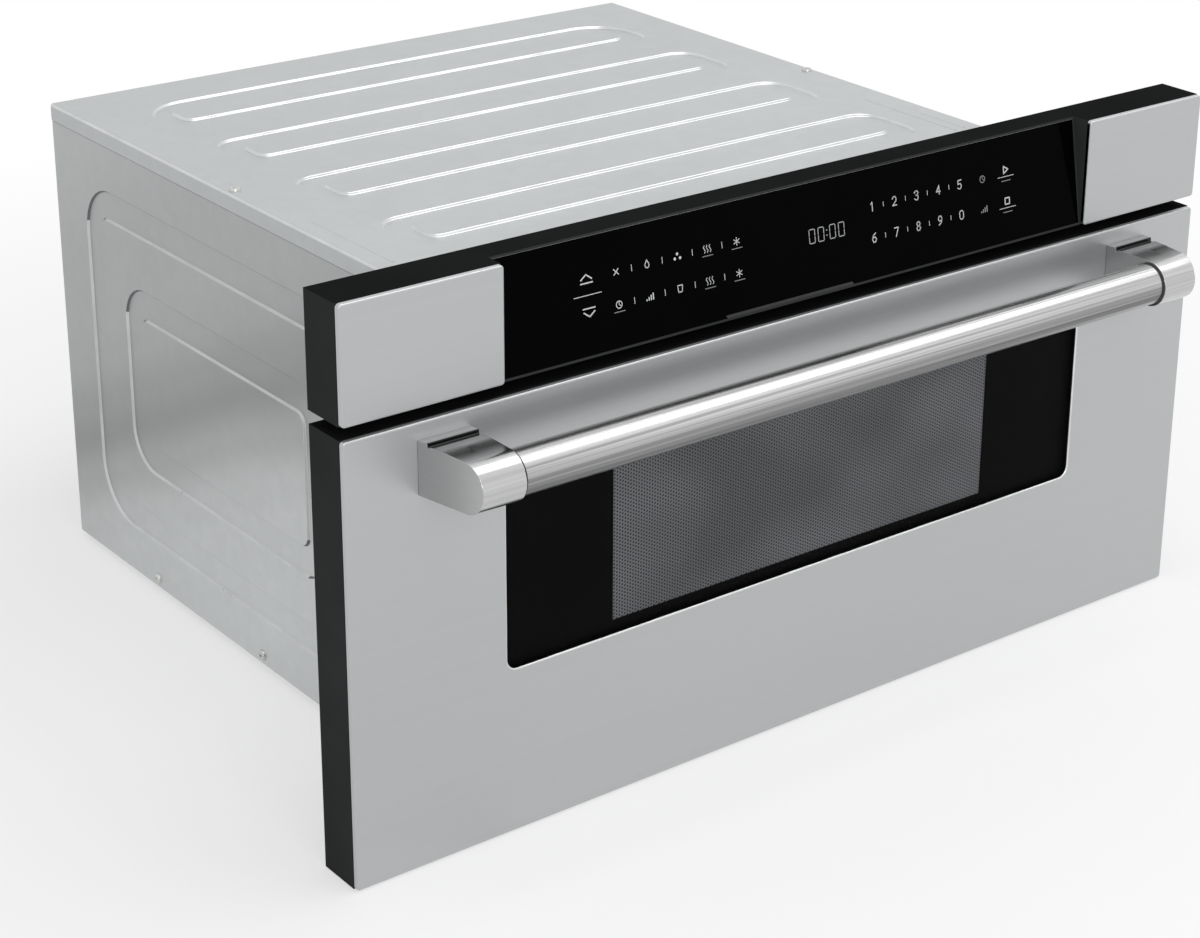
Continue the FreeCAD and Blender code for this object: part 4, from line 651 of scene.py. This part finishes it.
def side_panel(side, node):
    """Side panel with one ring groove inside another, and a lip under the top's fold."""
    low, high = node_box(node)
    face = side * SIDE_FACE
    shell = Shell()

    def place(y, z, depth):
        return (face - side * depth, y, z)

    def ring(setbacks, up, radii):
        span = tuple(back_of_front(setback) for setback in setbacks)
        return ring_groove(shell, place, span, up, radii, SIDE_RING_WIDTH)

    outer, land = ring(*SIDE_OUTER_RING)
    inner, centre = ring(*SIDE_INNER_RING)
    shell.sheet(*centre)
    shell.sheet(*land, [inner])
    flat = [(low.y, low.z), (high.y, low.z), (high.y, SIDE_TOP), (low.y, SIDE_TOP)]
    shell.sheet(flat, shell.loop([place(y, z, 0) for y, z in flat]), [outer])
    rows = [shell.loop([place(y, z, SIDE_LIP_STEP) for z in (SIDE_TOP, SIDE_LIP_TOP)])
            for y in (low.y + 2, high.y)]
    shell.bridge(*rows, closed=False)
    name = "case_side_left" if side < 0 else "case_side_right"
    panel = shell.object(name, "cabinet", SIDE_SHEET, "galvanised", facing=(side, 0, 0))
    panel.data.materials.append(LIT_EDGE)
    panel.data.materials.append(SHADED_EDGE)
    # Groove walls that face down or back get the dark copy, the other walls the light one: painted shade and
    # painted highlight.
    for polygon in panel.data.polygons:
        normal = polygon.normal
        if on_groove_wall((face - polygon.center.x / MM) * side) and abs(normal.x) < 0.97:
            polygon.material_index = 2 if normal.z < -0.12 or normal.y > 0.2 else 1
    thick(panel, SHEET)
    weighted(panel)
    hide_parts(node)


def case_screws():
    """Pan-head screws with a cross recess, on the top's edges and along the foot of each side."""
    x, setback, z = TOP_SCREW
    places = [((side * x, back_of_front(setback), z), (0, 0, 1)) for side in (-1, 1)]
    places += [((side * SIDE_FACE, back_of_front(FOOT_SCREW_SETBACK + FOOT_SCREW_PITCH * i),
                 FOOT_SCREW_HEIGHT), (side, 0, 0)) for side in (-1, 1) for i in range(FOOT_SCREWS)]
    head, height = SCREW_HEAD, SCREW_HEIGHT
    profile = [(0.0, head), (0.5, head), (height * 0.75, head * 0.86), (height * 0.95, head * 0.6),
               (height, head * 0.42)]
    arm_end, notch = head * 0.42 * 0.96, head * 0.14 * 1.5
    cross = [(a, arm_end if min(abs(math.sin(a)), abs(math.cos(a))) < 0.35 else notch)
             for a in full_turn(SCREW_SIDES)]
    shell = Shell()
    for seat, out in places:
        out = Vector(out)
        seat = Vector(seat)
        head_rings = shell.lathe(seat, out, profile, SCREW_SIDES)
        side = out.orthogonal().normalized()
        other = out.cross(side)
        recess = [shell.loop([tuple(seat + out * height * rise
                                    + taper * r * (side * math.cos(a) + other * math.sin(a)))
                              for a, r in cross]) for rise, taper in ((1.0, 1.0), (0.35, 0.7))]
        shell.stack([head_rings[-1], *recess])
        shell.cap(recess[-1])
    heads = shell.object("case_screw_heads", "cabinet", MATERIALS["zinc_screw"], "zinc_screw", angle=40)
    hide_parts("case_screws")


top_cover()
side_panel(-1, "left_side_panel")
side_panel(1, "right_side_panel")
case_screws()


# ---------------------------------------------------------------- steel skins of the front

ROLL = 1.3
SKIN_DEPTH = 3.5
SKIN_WALL = 0.9
SKIN_THICKNESS = 1.0
PAN_CORNER, LEAST_PAN_CORNER = 2.6, 0.3
CUT_BEVEL = 1.0
WINDOW = ((-258.8, 258.8), (121.5, 262.0), 8.0)


def front_loop(shell, flat, depth):
    """An outline at a depth behind the skin's face: its 2-D points and their indices."""
    return flat, shell.loop([(x, FRONT + depth, z) for x, z in flat])


def steel_pan(name, body, across, up, node, window=None):
    """A shallow steel pan with rolled edges, and on request a window cut out of it."""
    shell = Shell()

    def ring(inset, depth):
        radius = max(PAN_CORNER - inset, LEAST_PAN_CORNER)
        return front_loop(shell, corner_loop(shrink(across, inset), shrink(up, inset), radius), depth)

    roll = [ring(ROLL * (1 - math.sin(angle)), ROLL * (1 - math.cos(angle))) for angle in quarter_turn(6)]
    edge = ring(0, SKIN_DEPTH)
    lip = ring(SKIN_WALL, SKIN_DEPTH)
    inside = ring(SKIN_WALL, SKIN_THICKNESS)
    shell.stack([indices for _, indices in (*roll, edge, lip, inside)])
    cut = []
    if window:
        wx, wz, radius = window
        for angle in quarter_turn(4):
            grow = CUT_BEVEL * (1 - math.sin(angle))
            flat = corner_loop(shrink(wx, -grow), shrink(wz, -grow), radius + grow)
            cut.append(front_loop(shell, flat, CUT_BEVEL * (1 - math.cos(angle))))
        shell.stack([indices for _, indices in cut])
    shell.sheet(*roll[0], cut[:1])
    shell.sheet(*inside, cut[-1:])
    piece = shell.object(name, body, MATERIALS["stainless"], "stainless")
    if window:
        # The bevel round the window takes the lighter copy, whose colour paints a highlight line.
        piece.data.materials.append(CUT_EDGE_HIGHLIGHT)
        (left, right), (bottom, top) = (shrink(span, -CUT_BEVEL - 0.2) for span in (wx, wz))
        for polygon in piece.data.polygons:
            x, y, z = (c / MM for c in polygon.center)
            near = left < x < right and bottom < z < top
            if near and y < FRONT + CUT_BEVEL and abs(polygon.normal.y) < 0.99:
                polygon.material_index = 1
    weighted(piece)
    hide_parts(node)


steel_pan("drawer_front_skin", "drawer", (-HALF_FRONT, HALF_FRONT), (SKIN_LOW.z, SKIN_HIGH.z),
          "drawer_skin", WINDOW)
for side in ("left", "right"):
    low, high = node_box(side + "_end_cap")
    steel_pan("fascia_cap_" + side, "cabinet", (low.x, high.x), (low.z, high.z), side + "_end_cap")


# ---------------------------------------------------------------- handle

BAR_STANDOFF, BAR_HEIGHT = 42.8, 283.7
BAR_AXIS = (0, FRONT - BAR_STANDOFF, BAR_HEIGHT)
BAR_RADIUS, BAR_END, BAR_BORE = 15.2, 284.2, 11.0
SPIGOT_RADIUS, SPIGOT_END = 12.6, 297.0
NOSE_RADIUS, NOSE_STEP, NOSE_STEP_FADE = 17.1, 0.45, 24.0
BRACKET_INNER, BRACKET_OUTER, BRACKET_TAPER = 285.0, 324.5, 7.5


def handle_bar():
    """Brushed tube with softly broken ends and a spigot into each bracket."""
    shell = Shell()
    left_end = [(-SPIGOT_END, BAR_BORE), (-SPIGOT_END, SPIGOT_RADIUS), (-BAR_END, SPIGOT_RADIUS),
                (-BAR_END, BAR_RADIUS - 0.7), (-BAR_END + 0.25, BAR_RADIUS - 0.2),
                (-BAR_END + 0.9, BAR_RADIUS)]
    middle = [(x, BAR_RADIUS) for x in (-200, -100, 0, 100, 200)]
    right_end = [(-along, radius) for along, radius in reversed(left_end)]
    rings = shell.lathe(BAR_AXIS, (1, 0, 0), left_end + middle + right_end, 96)
    shell.bridge(rings[-1], rings[0])
    piece = shell.object("handle_tube", "drawer", MATERIALS["polished_stainless"], "polished_stainless",
                         angle=30)
    weighted(piece)
    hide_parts("handle_bar")


def joint_shade_rings():
    """Dark rings in the joints between the bar and its brackets, standing in for the shade in the gaps:
    painted shade.
    """
    shell = Shell()
    inside, start, end = BAR_RADIUS + 0.05, 283.5, BRACKET_INNER
    for side, radius in ((-1, 15.9), (1, 15.55)):
        profile = [(side * (start - 0.1), inside), (side * start, radius), (side * end, radius),
                   (side * end, inside)]
        rings = shell.lathe(BAR_AXIS, (1, 0, 0), profile, 64)
        shell.bridge(rings[-1], rings[0])
    shell.object("handle_joint_rings", "drawer", MATERIALS["rubber"], "rubber")


def bracket_outline():
    """Side view of a bracket: pad, notch, level arm, round nose with a fine step at its front."""
    outline = [(-0.2, 264.6), (-0.2, 301.4), (-4.5, 301.8), (-8.3, 302.2), (-8.9, 302.1), (-9.1, 301.7),
               (-9.2, 299.7), (-10.0, 299.3), (-10.9, 299.6), (-12.5, 300.4), (-17.0, 300.9),
               (-26.0, 300.9), (-36.0, 300.85)]
    for first, last, step in ((90, 152, 0.0), (153, 268, NOSE_STEP)):
        parts = (last - first) // 4
        for i in range(parts + 1):
            degrees = first + (last - first) * i / parts
            radius = NOSE_RADIUS - step * max(0.0, 1 - (degrees - first) / NOSE_STEP_FADE)
            angle = math.radians(degrees)
            outline.append((-BAR_STANDOFF + radius * math.cos(angle), BAR_HEIGHT + radius * math.sin(angle)))
    return outline


def bracket(side, name, node):
    """Handle bracket, narrower towards the nose, with thin bright bevels along its side faces."""
    taper = BRACKET_TAPER / (BAR_STANDOFF + NOSE_RADIUS)
    shell = Shell()
    outline = bracket_outline()
    inner = shell.loop([(side * BRACKET_INNER, FRONT + s, z) for s, z in outline])
    outer = shell.loop([(side * (BRACKET_OUTER + taper * s), FRONT + s, z) for s, z in outline])
    shell.bridge(inner, outer)
    shell.cap(list(reversed(inner)))
    shell.cap(outer)
    piece = shell.object(name, "drawer", BRACKET_TOP, "polished_stainless")
    bevelled(piece, 0.35, 3, 40)
    piece.data.materials.append(POLISHED_FACE)
    for polygon in piece.data.polygons:
        if abs(polygon.normal.x) > 0.9:
            polygon.material_index = 1
    weighted(piece)
    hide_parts(node)


handle_bar()
joint_shade_rings()
bracket(-1, "bracket_left", "left_handle_bracket")
bracket(1, "bracket_right", "right_handle_bracket")


# ---------------------------------------------------------------- window and touch panel

CLEAR_PANE = ((-170, 170), (129.5, 253.5))
GLASS_TOP_SETBACK, GLASS_FOOT_SETBACK = 17.5, 3.8
FASCIA_LOW, FASCIA_TOP = 322.0, 401.07
SLOPE = (GLASS_TOP_SETBACK - GLASS_FOOT_SETBACK) / (FASCIA_TOP - FASCIA_LOW)


def window_print():
    """Black print behind the window glass, round the clear middle."""
    glass_low, glass_high = node_box("window_glass")
    shell = Shell()
    back = node_box("window_screen")[0].y - 0.05
    outer = corner_loop(shrink((glass_low.x, glass_high.x), 1), shrink((glass_low.z, glass_high.z), 1), 8)
    inner = corner_loop(*CLEAR_PANE, 0.8)
    rings = [[front_loop(shell, flat, y - FRONT) for flat in (outer, inner)] for y in (back, back - 0.15)]
    for outline, hole in rings:
        shell.sheet(*outline, [hole])
    for k in (0, 1):
        shell.bridge(rings[0][k][1], rings[1][k][1])
    material = back_printed("window_print", (0.0045, 0.0045, 0.0045), 0.4, 0.02)
    shell.object("window_print", "drawer", material, "black_glass")


def on_glass(x, z, proud=0.05):
    """A point just in front of the sloping touch glass."""
    return (x, FRONT + GLASS_FOOT_SETBACK + SLOPE * (z - FASCIA_LOW) + 0.2 - proud, z)


class Legends:
    """Thin printed shapes on the touch glass."""

    def __init__(self):
        self.shell = Shell()

    def patch(self, outline):
        front, back = (self.shell.loop([on_glass(x, z, proud) for x, z in outline]) for proud in (0.09, 0.01))
        self.shell.bridge(front, back)
        self.shell.cap(front)
        self.shell.cap(list(reversed(back)))

    def bar(self, x, z, width, height):
        u, v = width / 2, height / 2
        self.patch([(x - u, z - v), (x + u, z - v), (x + u, z + v), (x - u, z + v)])

    def stroke(self, points, width):
        for start, end in zip(points, points[1:]):
            start, end = Vector(start), Vector(end)
            along = (end - start).normalized() * width / 2
            side = Vector((-along.y, along.x))
            start, end = start - along, end + along
            self.patch([tuple(c) for c in (start - side, end - side, end + side, start + side)])

    def ring(self, x, z, radius, width, sides=20):
        for k in range(sides):
            a, b = (2 * math.pi * (k + j) / sides for j in (0, 1))
            outer = [(x + radius * math.cos(t), z + radius * math.sin(t)) for t in (a, b)]
            inner = [(x + (radius - width) * math.cos(t), z + (radius - width) * math.sin(t)) for t in (b, a)]
            self.patch(outer + inner)

    def object(self, name, material):
        self.shell.object(name, "cabinet", material, "black_glass", angle=20)


DIGIT_STROKES = {
    "0": [[(0, 0.2), (0, 0.8), (0.3, 1), (0.7, 1), (1, 0.8), (1, 0.2), (0.7, 0), (0.3, 0), (0, 0.2)]],
    "1": [[(0.25, 0.8), (0.55, 1), (0.55, 0)]],
    "2": [[(0, 0.78), (0.28, 1), (0.72, 1), (1, 0.76), (0.9, 0.5), (0, 0), (1, 0)]],
    "3": [[(0, 0.85), (0.3, 1), (0.75, 1), (1, 0.77), (0.7, 0.53), (0.4, 0.53)],
          [(0.7, 0.53), (1, 0.28), (0.75, 0), (0.3, 0), (0, 0.15)]],
    "4": [[(0.75, 0), (0.75, 1), (0, 0.3), (1, 0.3)]],
    "5": [[(0.95, 1), (0.1, 1), (0.05, 0.55), (0.6, 0.62), (1, 0.35), (0.7, 0), (0.3, 0), (0, 0.12)]],
    "6": [[(0.85, 1), (0.3, 0.8), (0, 0.35), (0.25, 0), (0.75, 0), (1, 0.3), (0.75, 0.56), (0.1, 0.5)]],
    "7": [[(0, 1), (1, 1), (0.35, 0)]],
    "8": [[(0.3, 0.53), (0.05, 0.78), (0.3, 1), (0.7, 1), (0.95, 0.78), (0.7, 0.53), (0.3, 0.53), (0, 0.26),
           (0.3, 0), (0.7, 0), (1, 0.26), (0.7, 0.53)]],
    "9": [[(0.15, 0), (0.7, 0.2), (1, 0.65), (0.75, 1), (0.25, 1), (0, 0.7), (0.25, 0.44), (0.9, 0.5)]],
}
ZERO_SEGMENTS = (((0, 1), (1, 1)), ((1, 1), (1, 0.5)), ((1, 0.5), (1, 0)), ((0, 0), (1, 0)),
                 ((0, 0.5), (0, 0)), ((0, 1), (0, 0.5)))
KEY_ROWS = (372.5, 351.3)
KEY_START, KEY_PITCH = -163.0, 25.0
DIGIT_ROWS = ((372.8, "12345"), (351.3, "67890"))
DIGIT_START, DIGIT_PITCH, DIGIT_SIZE = 57.8, 20.8, (3.6, 6.0)
ARROW_COLUMN, START_COLUMN, SMALL_COLUMN = -186.8, 186.4, 163.3
CLOCK_HEIGHT, CLOCK_DIGITS, CLOCK_COLON, CLOCK_SIZE = 363.0, (2.2, 10.2, 20.6, 28.6), 15.4, (5.0, 9.4)
KEY_SIGNS = (("cross", False), ("drop", False), ("dots", False), ("waves", True), ("star", True),
             ("clock", True), ("steps", False), ("cup", False), ("waves", True), ("star", True))


def key_sign(marks, sign, x, z):
    """A plain pictogram, about 5 mm high, round the middle of one key."""
    def line(*points, width=0.6):
        marks.stroke([(x + u, z + v) for u, v in points], width)

    if sign == "cross":
        line((-1.8, -1.8), (1.8, 1.8))
        line((-1.8, 1.8), (1.8, -1.8))
    elif sign == "drop":
        line((0, 2.7), (1.7, -0.2), (1.3, -1.9), (0, -2.5), (-1.3, -1.9), (-1.7, -0.2), (0, 2.7))
    elif sign == "dots":
        for u, v in ((-2.2, -1.3), (0, 1.6), (2.2, -1.3)):
            marks.ring(x + u, z + v, 1.0, 0.9, 12)
    elif sign == "waves":
        for u in (-2.4, 0, 2.4):
            line((u, -2.4), (u + 0.7, -1.2), (u - 0.7, 1.2), (u, 2.4), width=0.5)
    elif sign == "star":
        for k in range(3):
            angle = math.radians(30 + 60 * k)
            u, v = 2.6 * math.cos(angle), 2.6 * math.sin(angle)
            line((-u, -v), (u, v), width=0.5)
    elif sign == "clock":
        marks.ring(x, z, 2.6, 0.55, 24)
        line((0, 1.6), (0, 0), (1.2, -0.7), width=0.5)
    elif sign == "steps":
        for k in range(4):
            marks.bar(x - 2.7 + 1.8 * k, z - 1.9 + 0.55 * k, 0.9, 1.2 + 1.1 * k)
    elif sign == "cup":
        line((-2.0, 2.2), (-1.5, -2.2), (1.5, -2.2), (2.0, 2.2), (-2.0, 2.2))


def in_box(middle, size, points):
    """Points of a unit square, placed in a box round its middle."""
    return [(middle[0] + (u - 0.5) * size[0], middle[1] + (v - 0.5) * size[1]) for u, v in points]


def legends():
    """Digits and plain symbols for the other touch keys."""
    marks, small = Legends(), Legends()
    for row, keys in DIGIT_ROWS:
        for i, digit in enumerate(keys):
            x = DIGIT_START + DIGIT_PITCH * i
            for line in DIGIT_STROKES[digit]:
                marks.stroke(in_box((x, row), DIGIT_SIZE, line), 0.7)
            if i:
                marks.bar(x - DIGIT_PITCH / 2, row, 0.45, 3.4)
    for row, kinds in zip(KEY_ROWS, (KEY_SIGNS[:5], KEY_SIGNS[5:])):
        for i, (sign, note) in enumerate(kinds):
            x = KEY_START + KEY_PITCH * i
            key_sign(marks, sign, x, row)
            if i:
                marks.bar(x - KEY_PITCH / 2, row, 0.45, 4.2)
            if note:
                small.bar(x, row - 4.6, 9.0, 0.5)
    x = ARROW_COLUMN
    for z, lean in ((372.9, 1), (351.1, -1)):
        marks.stroke([(x - 4.2, z - 0.4 * lean), (x, z + 2.6 * lean), (x + 4.2, z - 0.4 * lean)], 0.85)
        marks.bar(x, z - 2.8 * lean, 10.0, 0.8)
    marks.bar(x, 362.3, 22.0, 0.45)
    for z in (374.7, 352.4):
        marks.bar(START_COLUMN, z - 4.4, 16.0, 0.4)
        small.bar(START_COLUMN, z - 7.4, 9.0, 0.5)
    marks.stroke([(184.6, 372.6), (188.9, 375.2), (184.6, 377.8), (184.6, 372.6)], 0.85)
    marks.stroke([(184.2, 350.6), (188.6, 350.6), (188.6, 355.0), (184.2, 355.0), (184.2, 350.6)], 0.85)
    for sign, row in zip(("clock", "steps"), KEY_ROWS):
        key_sign(small, sign, SMALL_COLUMN, row)
    marks.object("key_legends", moulded("key_print", (0.62, 0.63, 0.64), 0.5))
    small.object("key_legends_small", moulded("key_print_grey", (0.24, 0.245, 0.25), 0.5))


def clock_digits():
    """Four glowing zeros of thin segments, with a colon."""
    glow = new_material("clock_glow", (0.3, 0.31, 0.31), 0.0, 0.4, Emission_Color=(0.8, 0.83, 0.83, 1),
                        Emission_Strength=0.12)
    finished(glow, tint(glow, noise(glow, 300.0), (0.28, 0.29, 0.29), (0.34, 0.35, 0.35)))
    clock = Legends()
    for x in CLOCK_DIGITS:
        for (ax, az), (bx, bz) in ZERO_SEGMENTS:
            ends = ((ax + 0.12 * (bx - ax), az + 0.12 * (bz - az)),
                    (bx + 0.12 * (ax - bx), bz + 0.12 * (az - bz)))
            clock.stroke(in_box((x, CLOCK_HEIGHT), CLOCK_SIZE, ends), 0.55)
    for z in (CLOCK_HEIGHT - 1.6, CLOCK_HEIGHT + 1.9):
        clock.bar(CLOCK_COLON, z, 0.8, 0.8)
    clock.object("clock_digits", glow)


def fascia_trims():
    """Upper edge of the touch glass, grey to paint the highlight on its polished rim, and a small strip on
    the lip below it.
    """
    edge = Shell()
    setback = on_glass(0, 399.6, 0.0)[1]
    section = ((-0.15, 399.3), (0.25, 400.9), (1.6, 401.0), (1.6, 399.3))
    ends = [edge.loop([(x, setback + s, z) for s, z in section]) for x in (-256.9, 256.9)]
    edge.bridge(*ends)
    edge.cap(list(reversed(ends[0])))
    edge.cap(ends[1])
    # A grey that paints the highlight on the glass's top edge.
    edge_highlight = moulded("glass_edge_highlight", (0.4, 0.404, 0.408), 0.35)
    edge.object("touch_glass_edge", "cabinet", edge_highlight, "black_glass")
    strip = Legends()
    strip.patch([(-75.0, 322.5), (37.0, 322.5), (34.5, 325.6), (-77.5, 325.6)])
    strip.object("foot_strip", moulded("foot_strip", (0.012, 0.0125, 0.0135), 0.45))


window_print()
legends()
clock_digits()
fascia_trims()


# ---------------------------------------------------------------- pieces inside the drawer

# Steps up the tray: distance in, rise from its bottom or its top, and corner radius.
TRAY_PROFILE = ((7, 0.0, 9), (2, 0.6, 14), (0, 2.2, 16))
TRAY_RIM = ((0, -1.2, 16), (0.5, -0.3, 15.5), (1.5, 0.0, 14.5), (6, 0.0, 10.5), (7.5, -0.4, 9.5),
            (10.5, -2.1, 8), (13, -2.5, 7))
TUB_SILL, TUB_VIEW, RIM_RADIUS = 127.5, 172.5, 1.7


def glass_tray():
    """Glass tray: rounded corners, a raised rim and a shallow dish."""
    low, high = node_box("glass_tray")
    shell = Shell()
    loops = []
    for base, rows in ((low.z, TRAY_PROFILE), (high.z, TRAY_RIM)):
        for inset, rise, radius in rows:
            flat = corner_loop(shrink((low.x, high.x), inset), shrink((low.y, high.y), inset), radius)
            loops.append(shell.loop([(x, y, base + rise) for x, y in flat]))
    shell.stack(loops)
    shell.cap(list(reversed(loops[0])))
    shell.cap(loops[-1])
    piece = shell.object("oven_tray", "drawer", MATERIALS["tray_glass"], "tray_glass", angle=50)
    weighted(piece)
    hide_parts("glass_tray")


def tub_rim():
    """Rolled bead round the tub's upper edge and its viewing cut-out."""
    low, high = node_box("drawer_tub")
    top, front, sill, view = high.z - 0.6, low.y + 0.8, TUB_SILL, TUB_VIEW
    path = [(view + 1.5, front, top), (high.x - 4, front, top), (high.x - 1, front + 3, top),
            (high.x - 1, high.y - 4, top), (high.x - 4, high.y - 1, top), (low.x + 4, high.y - 1, top),
            (low.x + 1, high.y - 4, top), (low.x + 1, front + 3, top), (low.x + 4, front, top),
            (-view - 1.5, front, top), (-view, front, top - 2), (-view, front, sill + 2),
            (-view + 2, front, sill), (view - 2, front, sill), (view, front, sill + 2),
            (view, front, top - 2)]
    shell = Shell()
    shell.tube(path, RIM_RADIUS, 10)
    shell.object("tub_rim", "drawer", MATERIALS["cavity_steel"], "cavity_steel", angle=60)


glass_tray()
tub_rim()

# Widths of rounded edges, and the nodes that have them.
BEVELS = {
    0.2: ("control_board",),
    0.25: ("back_panel",),
    0.3: ("front_frame", "fascia_back_cover", "left_outer_rail", "right_outer_rail", "left_inner_rail",
          "right_inner_rail", "left_middle_rail", "right_middle_rail"),
    0.4: ("touch_glass", "inner_panel", "drawer_tub", "base_pan", "cavity_liner"),
    0.5: ("window_glass", "magnetron_yoke", "clock_display"),
    0.6: ("interlock_switches", "cavity_stands"),
    0.8: ("fascia_housing", "drawer_front_body", "base_runners", "fan_shroud", "waveguide",
          "transformer_core", "lamp_housing", "drive_motor", "fan_motor"),
    0.9: ("inlet_gland",),
    1.2: ("choke_frame", "high_voltage_capacitor"),
    1.5: ("stirrer_cover",),
    2.0: ("transformer_coils",),
}
for width, names in BEVELS.items():
    for name in names:
        bevelled(frame["nodes"][name], width)
        weighted(frame["nodes"][name])


# ---------------------------------------------------------------- stage, light, camera

WHITE = (1, 1, 1, 1)
FLOOR_REACH_M = 30.0
PICTURE_WIDTH = 1200
# The photograph's middle, and where the camera's axis meets it, in pixels.
MIDDLE_COLUMN, MIDDLE_ROW = 600, 469
AXIS_COLUMN, AXIS_ROW = 683.2, 340
FOCAL_PIXELS = 2712.2
SENSOR_MM = 36.0


def seen_by(holder, *rays):
    """1 for the named kinds of ray, 0 for the others."""
    path = add(holder, "ShaderNodeLightPath")
    seen = path.outputs[rays[0]]
    for ray in rays[1:]:
        seen = calculated(holder, "MAXIMUM", seen, path.outputs[ray])
    return seen


def floor():
    """Large pale floor that fades into the white surroundings."""
    mesh = bpy.data.meshes.new("floor")
    reach = FLOOR_REACH_M
    mesh.from_pydata([(-reach, -reach, 0), (reach, -reach, 0), (reach, reach, 0), (-reach, reach, 0)], [],
                     [(0, 1, 2, 3)])
    material = new_material("floor_pale", (0.95, 0.95, 0.95), 0.0, 0.9, Specular_IOR_Level=0.1)
    finished(material, tint(material, noise(material, 3.0), (0.94, 0.94, 0.94), (0.96, 0.96, 0.96)))
    white = add(material, "ShaderNodeEmission", {"Color": WHITE, "Strength": 1.0}).outputs[0]
    place = add(material, "ShaderNodeTexCoord").outputs["Object"]
    fade = ramp(material, calculated(material, "LENGTH", place, kind=VECTOR_MATH), 0.55, 1.0, 0.45, 1.3)
    share = calculated(material, "MULTIPLY", seen_by(material, "Is Camera Ray", "Is Glossy Ray"), fade)
    mix = add(material, "ShaderNodeMixShader", {0: share, 1: shader_of(material).outputs[0], 2: white})
    output = next(n for n in material.node_tree.nodes if n.type == "OUTPUT_MATERIAL")
    feed(material, output.inputs["Surface"], mix.outputs[0])
    mesh.materials.append(material)
    linked("floor", mesh)


def world(ambient):
    """White to the camera and to reflections, dimmer as light."""
    surroundings = bpy.data.worlds.new("studio")
    bpy.context.scene.world = surroundings
    surroundings.use_nodes = True
    surroundings.node_tree.nodes.clear()
    seen = seen_by(surroundings, "Is Camera Ray", "Is Glossy Ray", "Is Transmission Ray")
    strength = ramp(surroundings, seen, ambient, 1.0)
    light = add(surroundings, "ShaderNodeBackground", {"Color": WHITE, "Strength": strength})
    add(surroundings, "ShaderNodeOutputWorld", {"Surface": light.outputs[0]})


def softbox(name, place, target, size, power):
    """A square lamp that faces a target; metres and watts."""
    data = bpy.data.lights.new(name, "AREA")
    data.shape = "RECTANGLE"
    data.size, data.size_y = size
    data.energy = power
    lamp = linked(name, data)
    lamp.location = place
    lamp.rotation_mode = "QUATERNION"
    lamp.rotation_quaternion = (Vector(target) - Vector(place)).to_track_quat("-Z", "Y")


def camera():
    """Camera where the photograph was taken from; its axis meets the picture above its middle."""
    right = Vector((0.78139, -0.62388, 0.01447))
    down = Vector((-0.21603, -0.29218, -0.93164))
    forward = Vector((0.58546, 0.72485, -0.36309))
    data = bpy.data.cameras.new("view")
    data.sensor_width = SENSOR_MM
    data.lens = FOCAL_PIXELS / PICTURE_WIDTH * SENSOR_MM
    data.shift_x = (MIDDLE_COLUMN - AXIS_COLUMN) / PICTURE_WIDTH
    data.shift_y = (AXIS_ROW - MIDDLE_ROW) / PICTURE_WIDTH
    data.clip_start, data.clip_end = 0.05, 100
    eye = linked("view", data)
    turn = Matrix((right, -down, -forward)).transposed().to_4x4()
    eye.matrix_world = Matrix.Translation((-1.15281, -1.54612, 0.96141)) @ turn
    bpy.context.scene.camera = eye


floor()
world(0.5)
softbox("key", (0.9, -0.7, 2.4), (0.9, -0.7, 0.0), (3.0, 1.2), 28.0)
softbox("front_fill", (-0.9, -2.4, 1.3), (0, 0, 0.2), (1.4, 1.0), 12.0)
camera()
bpy.context.scene.view_settings.view_transform = "Standard"
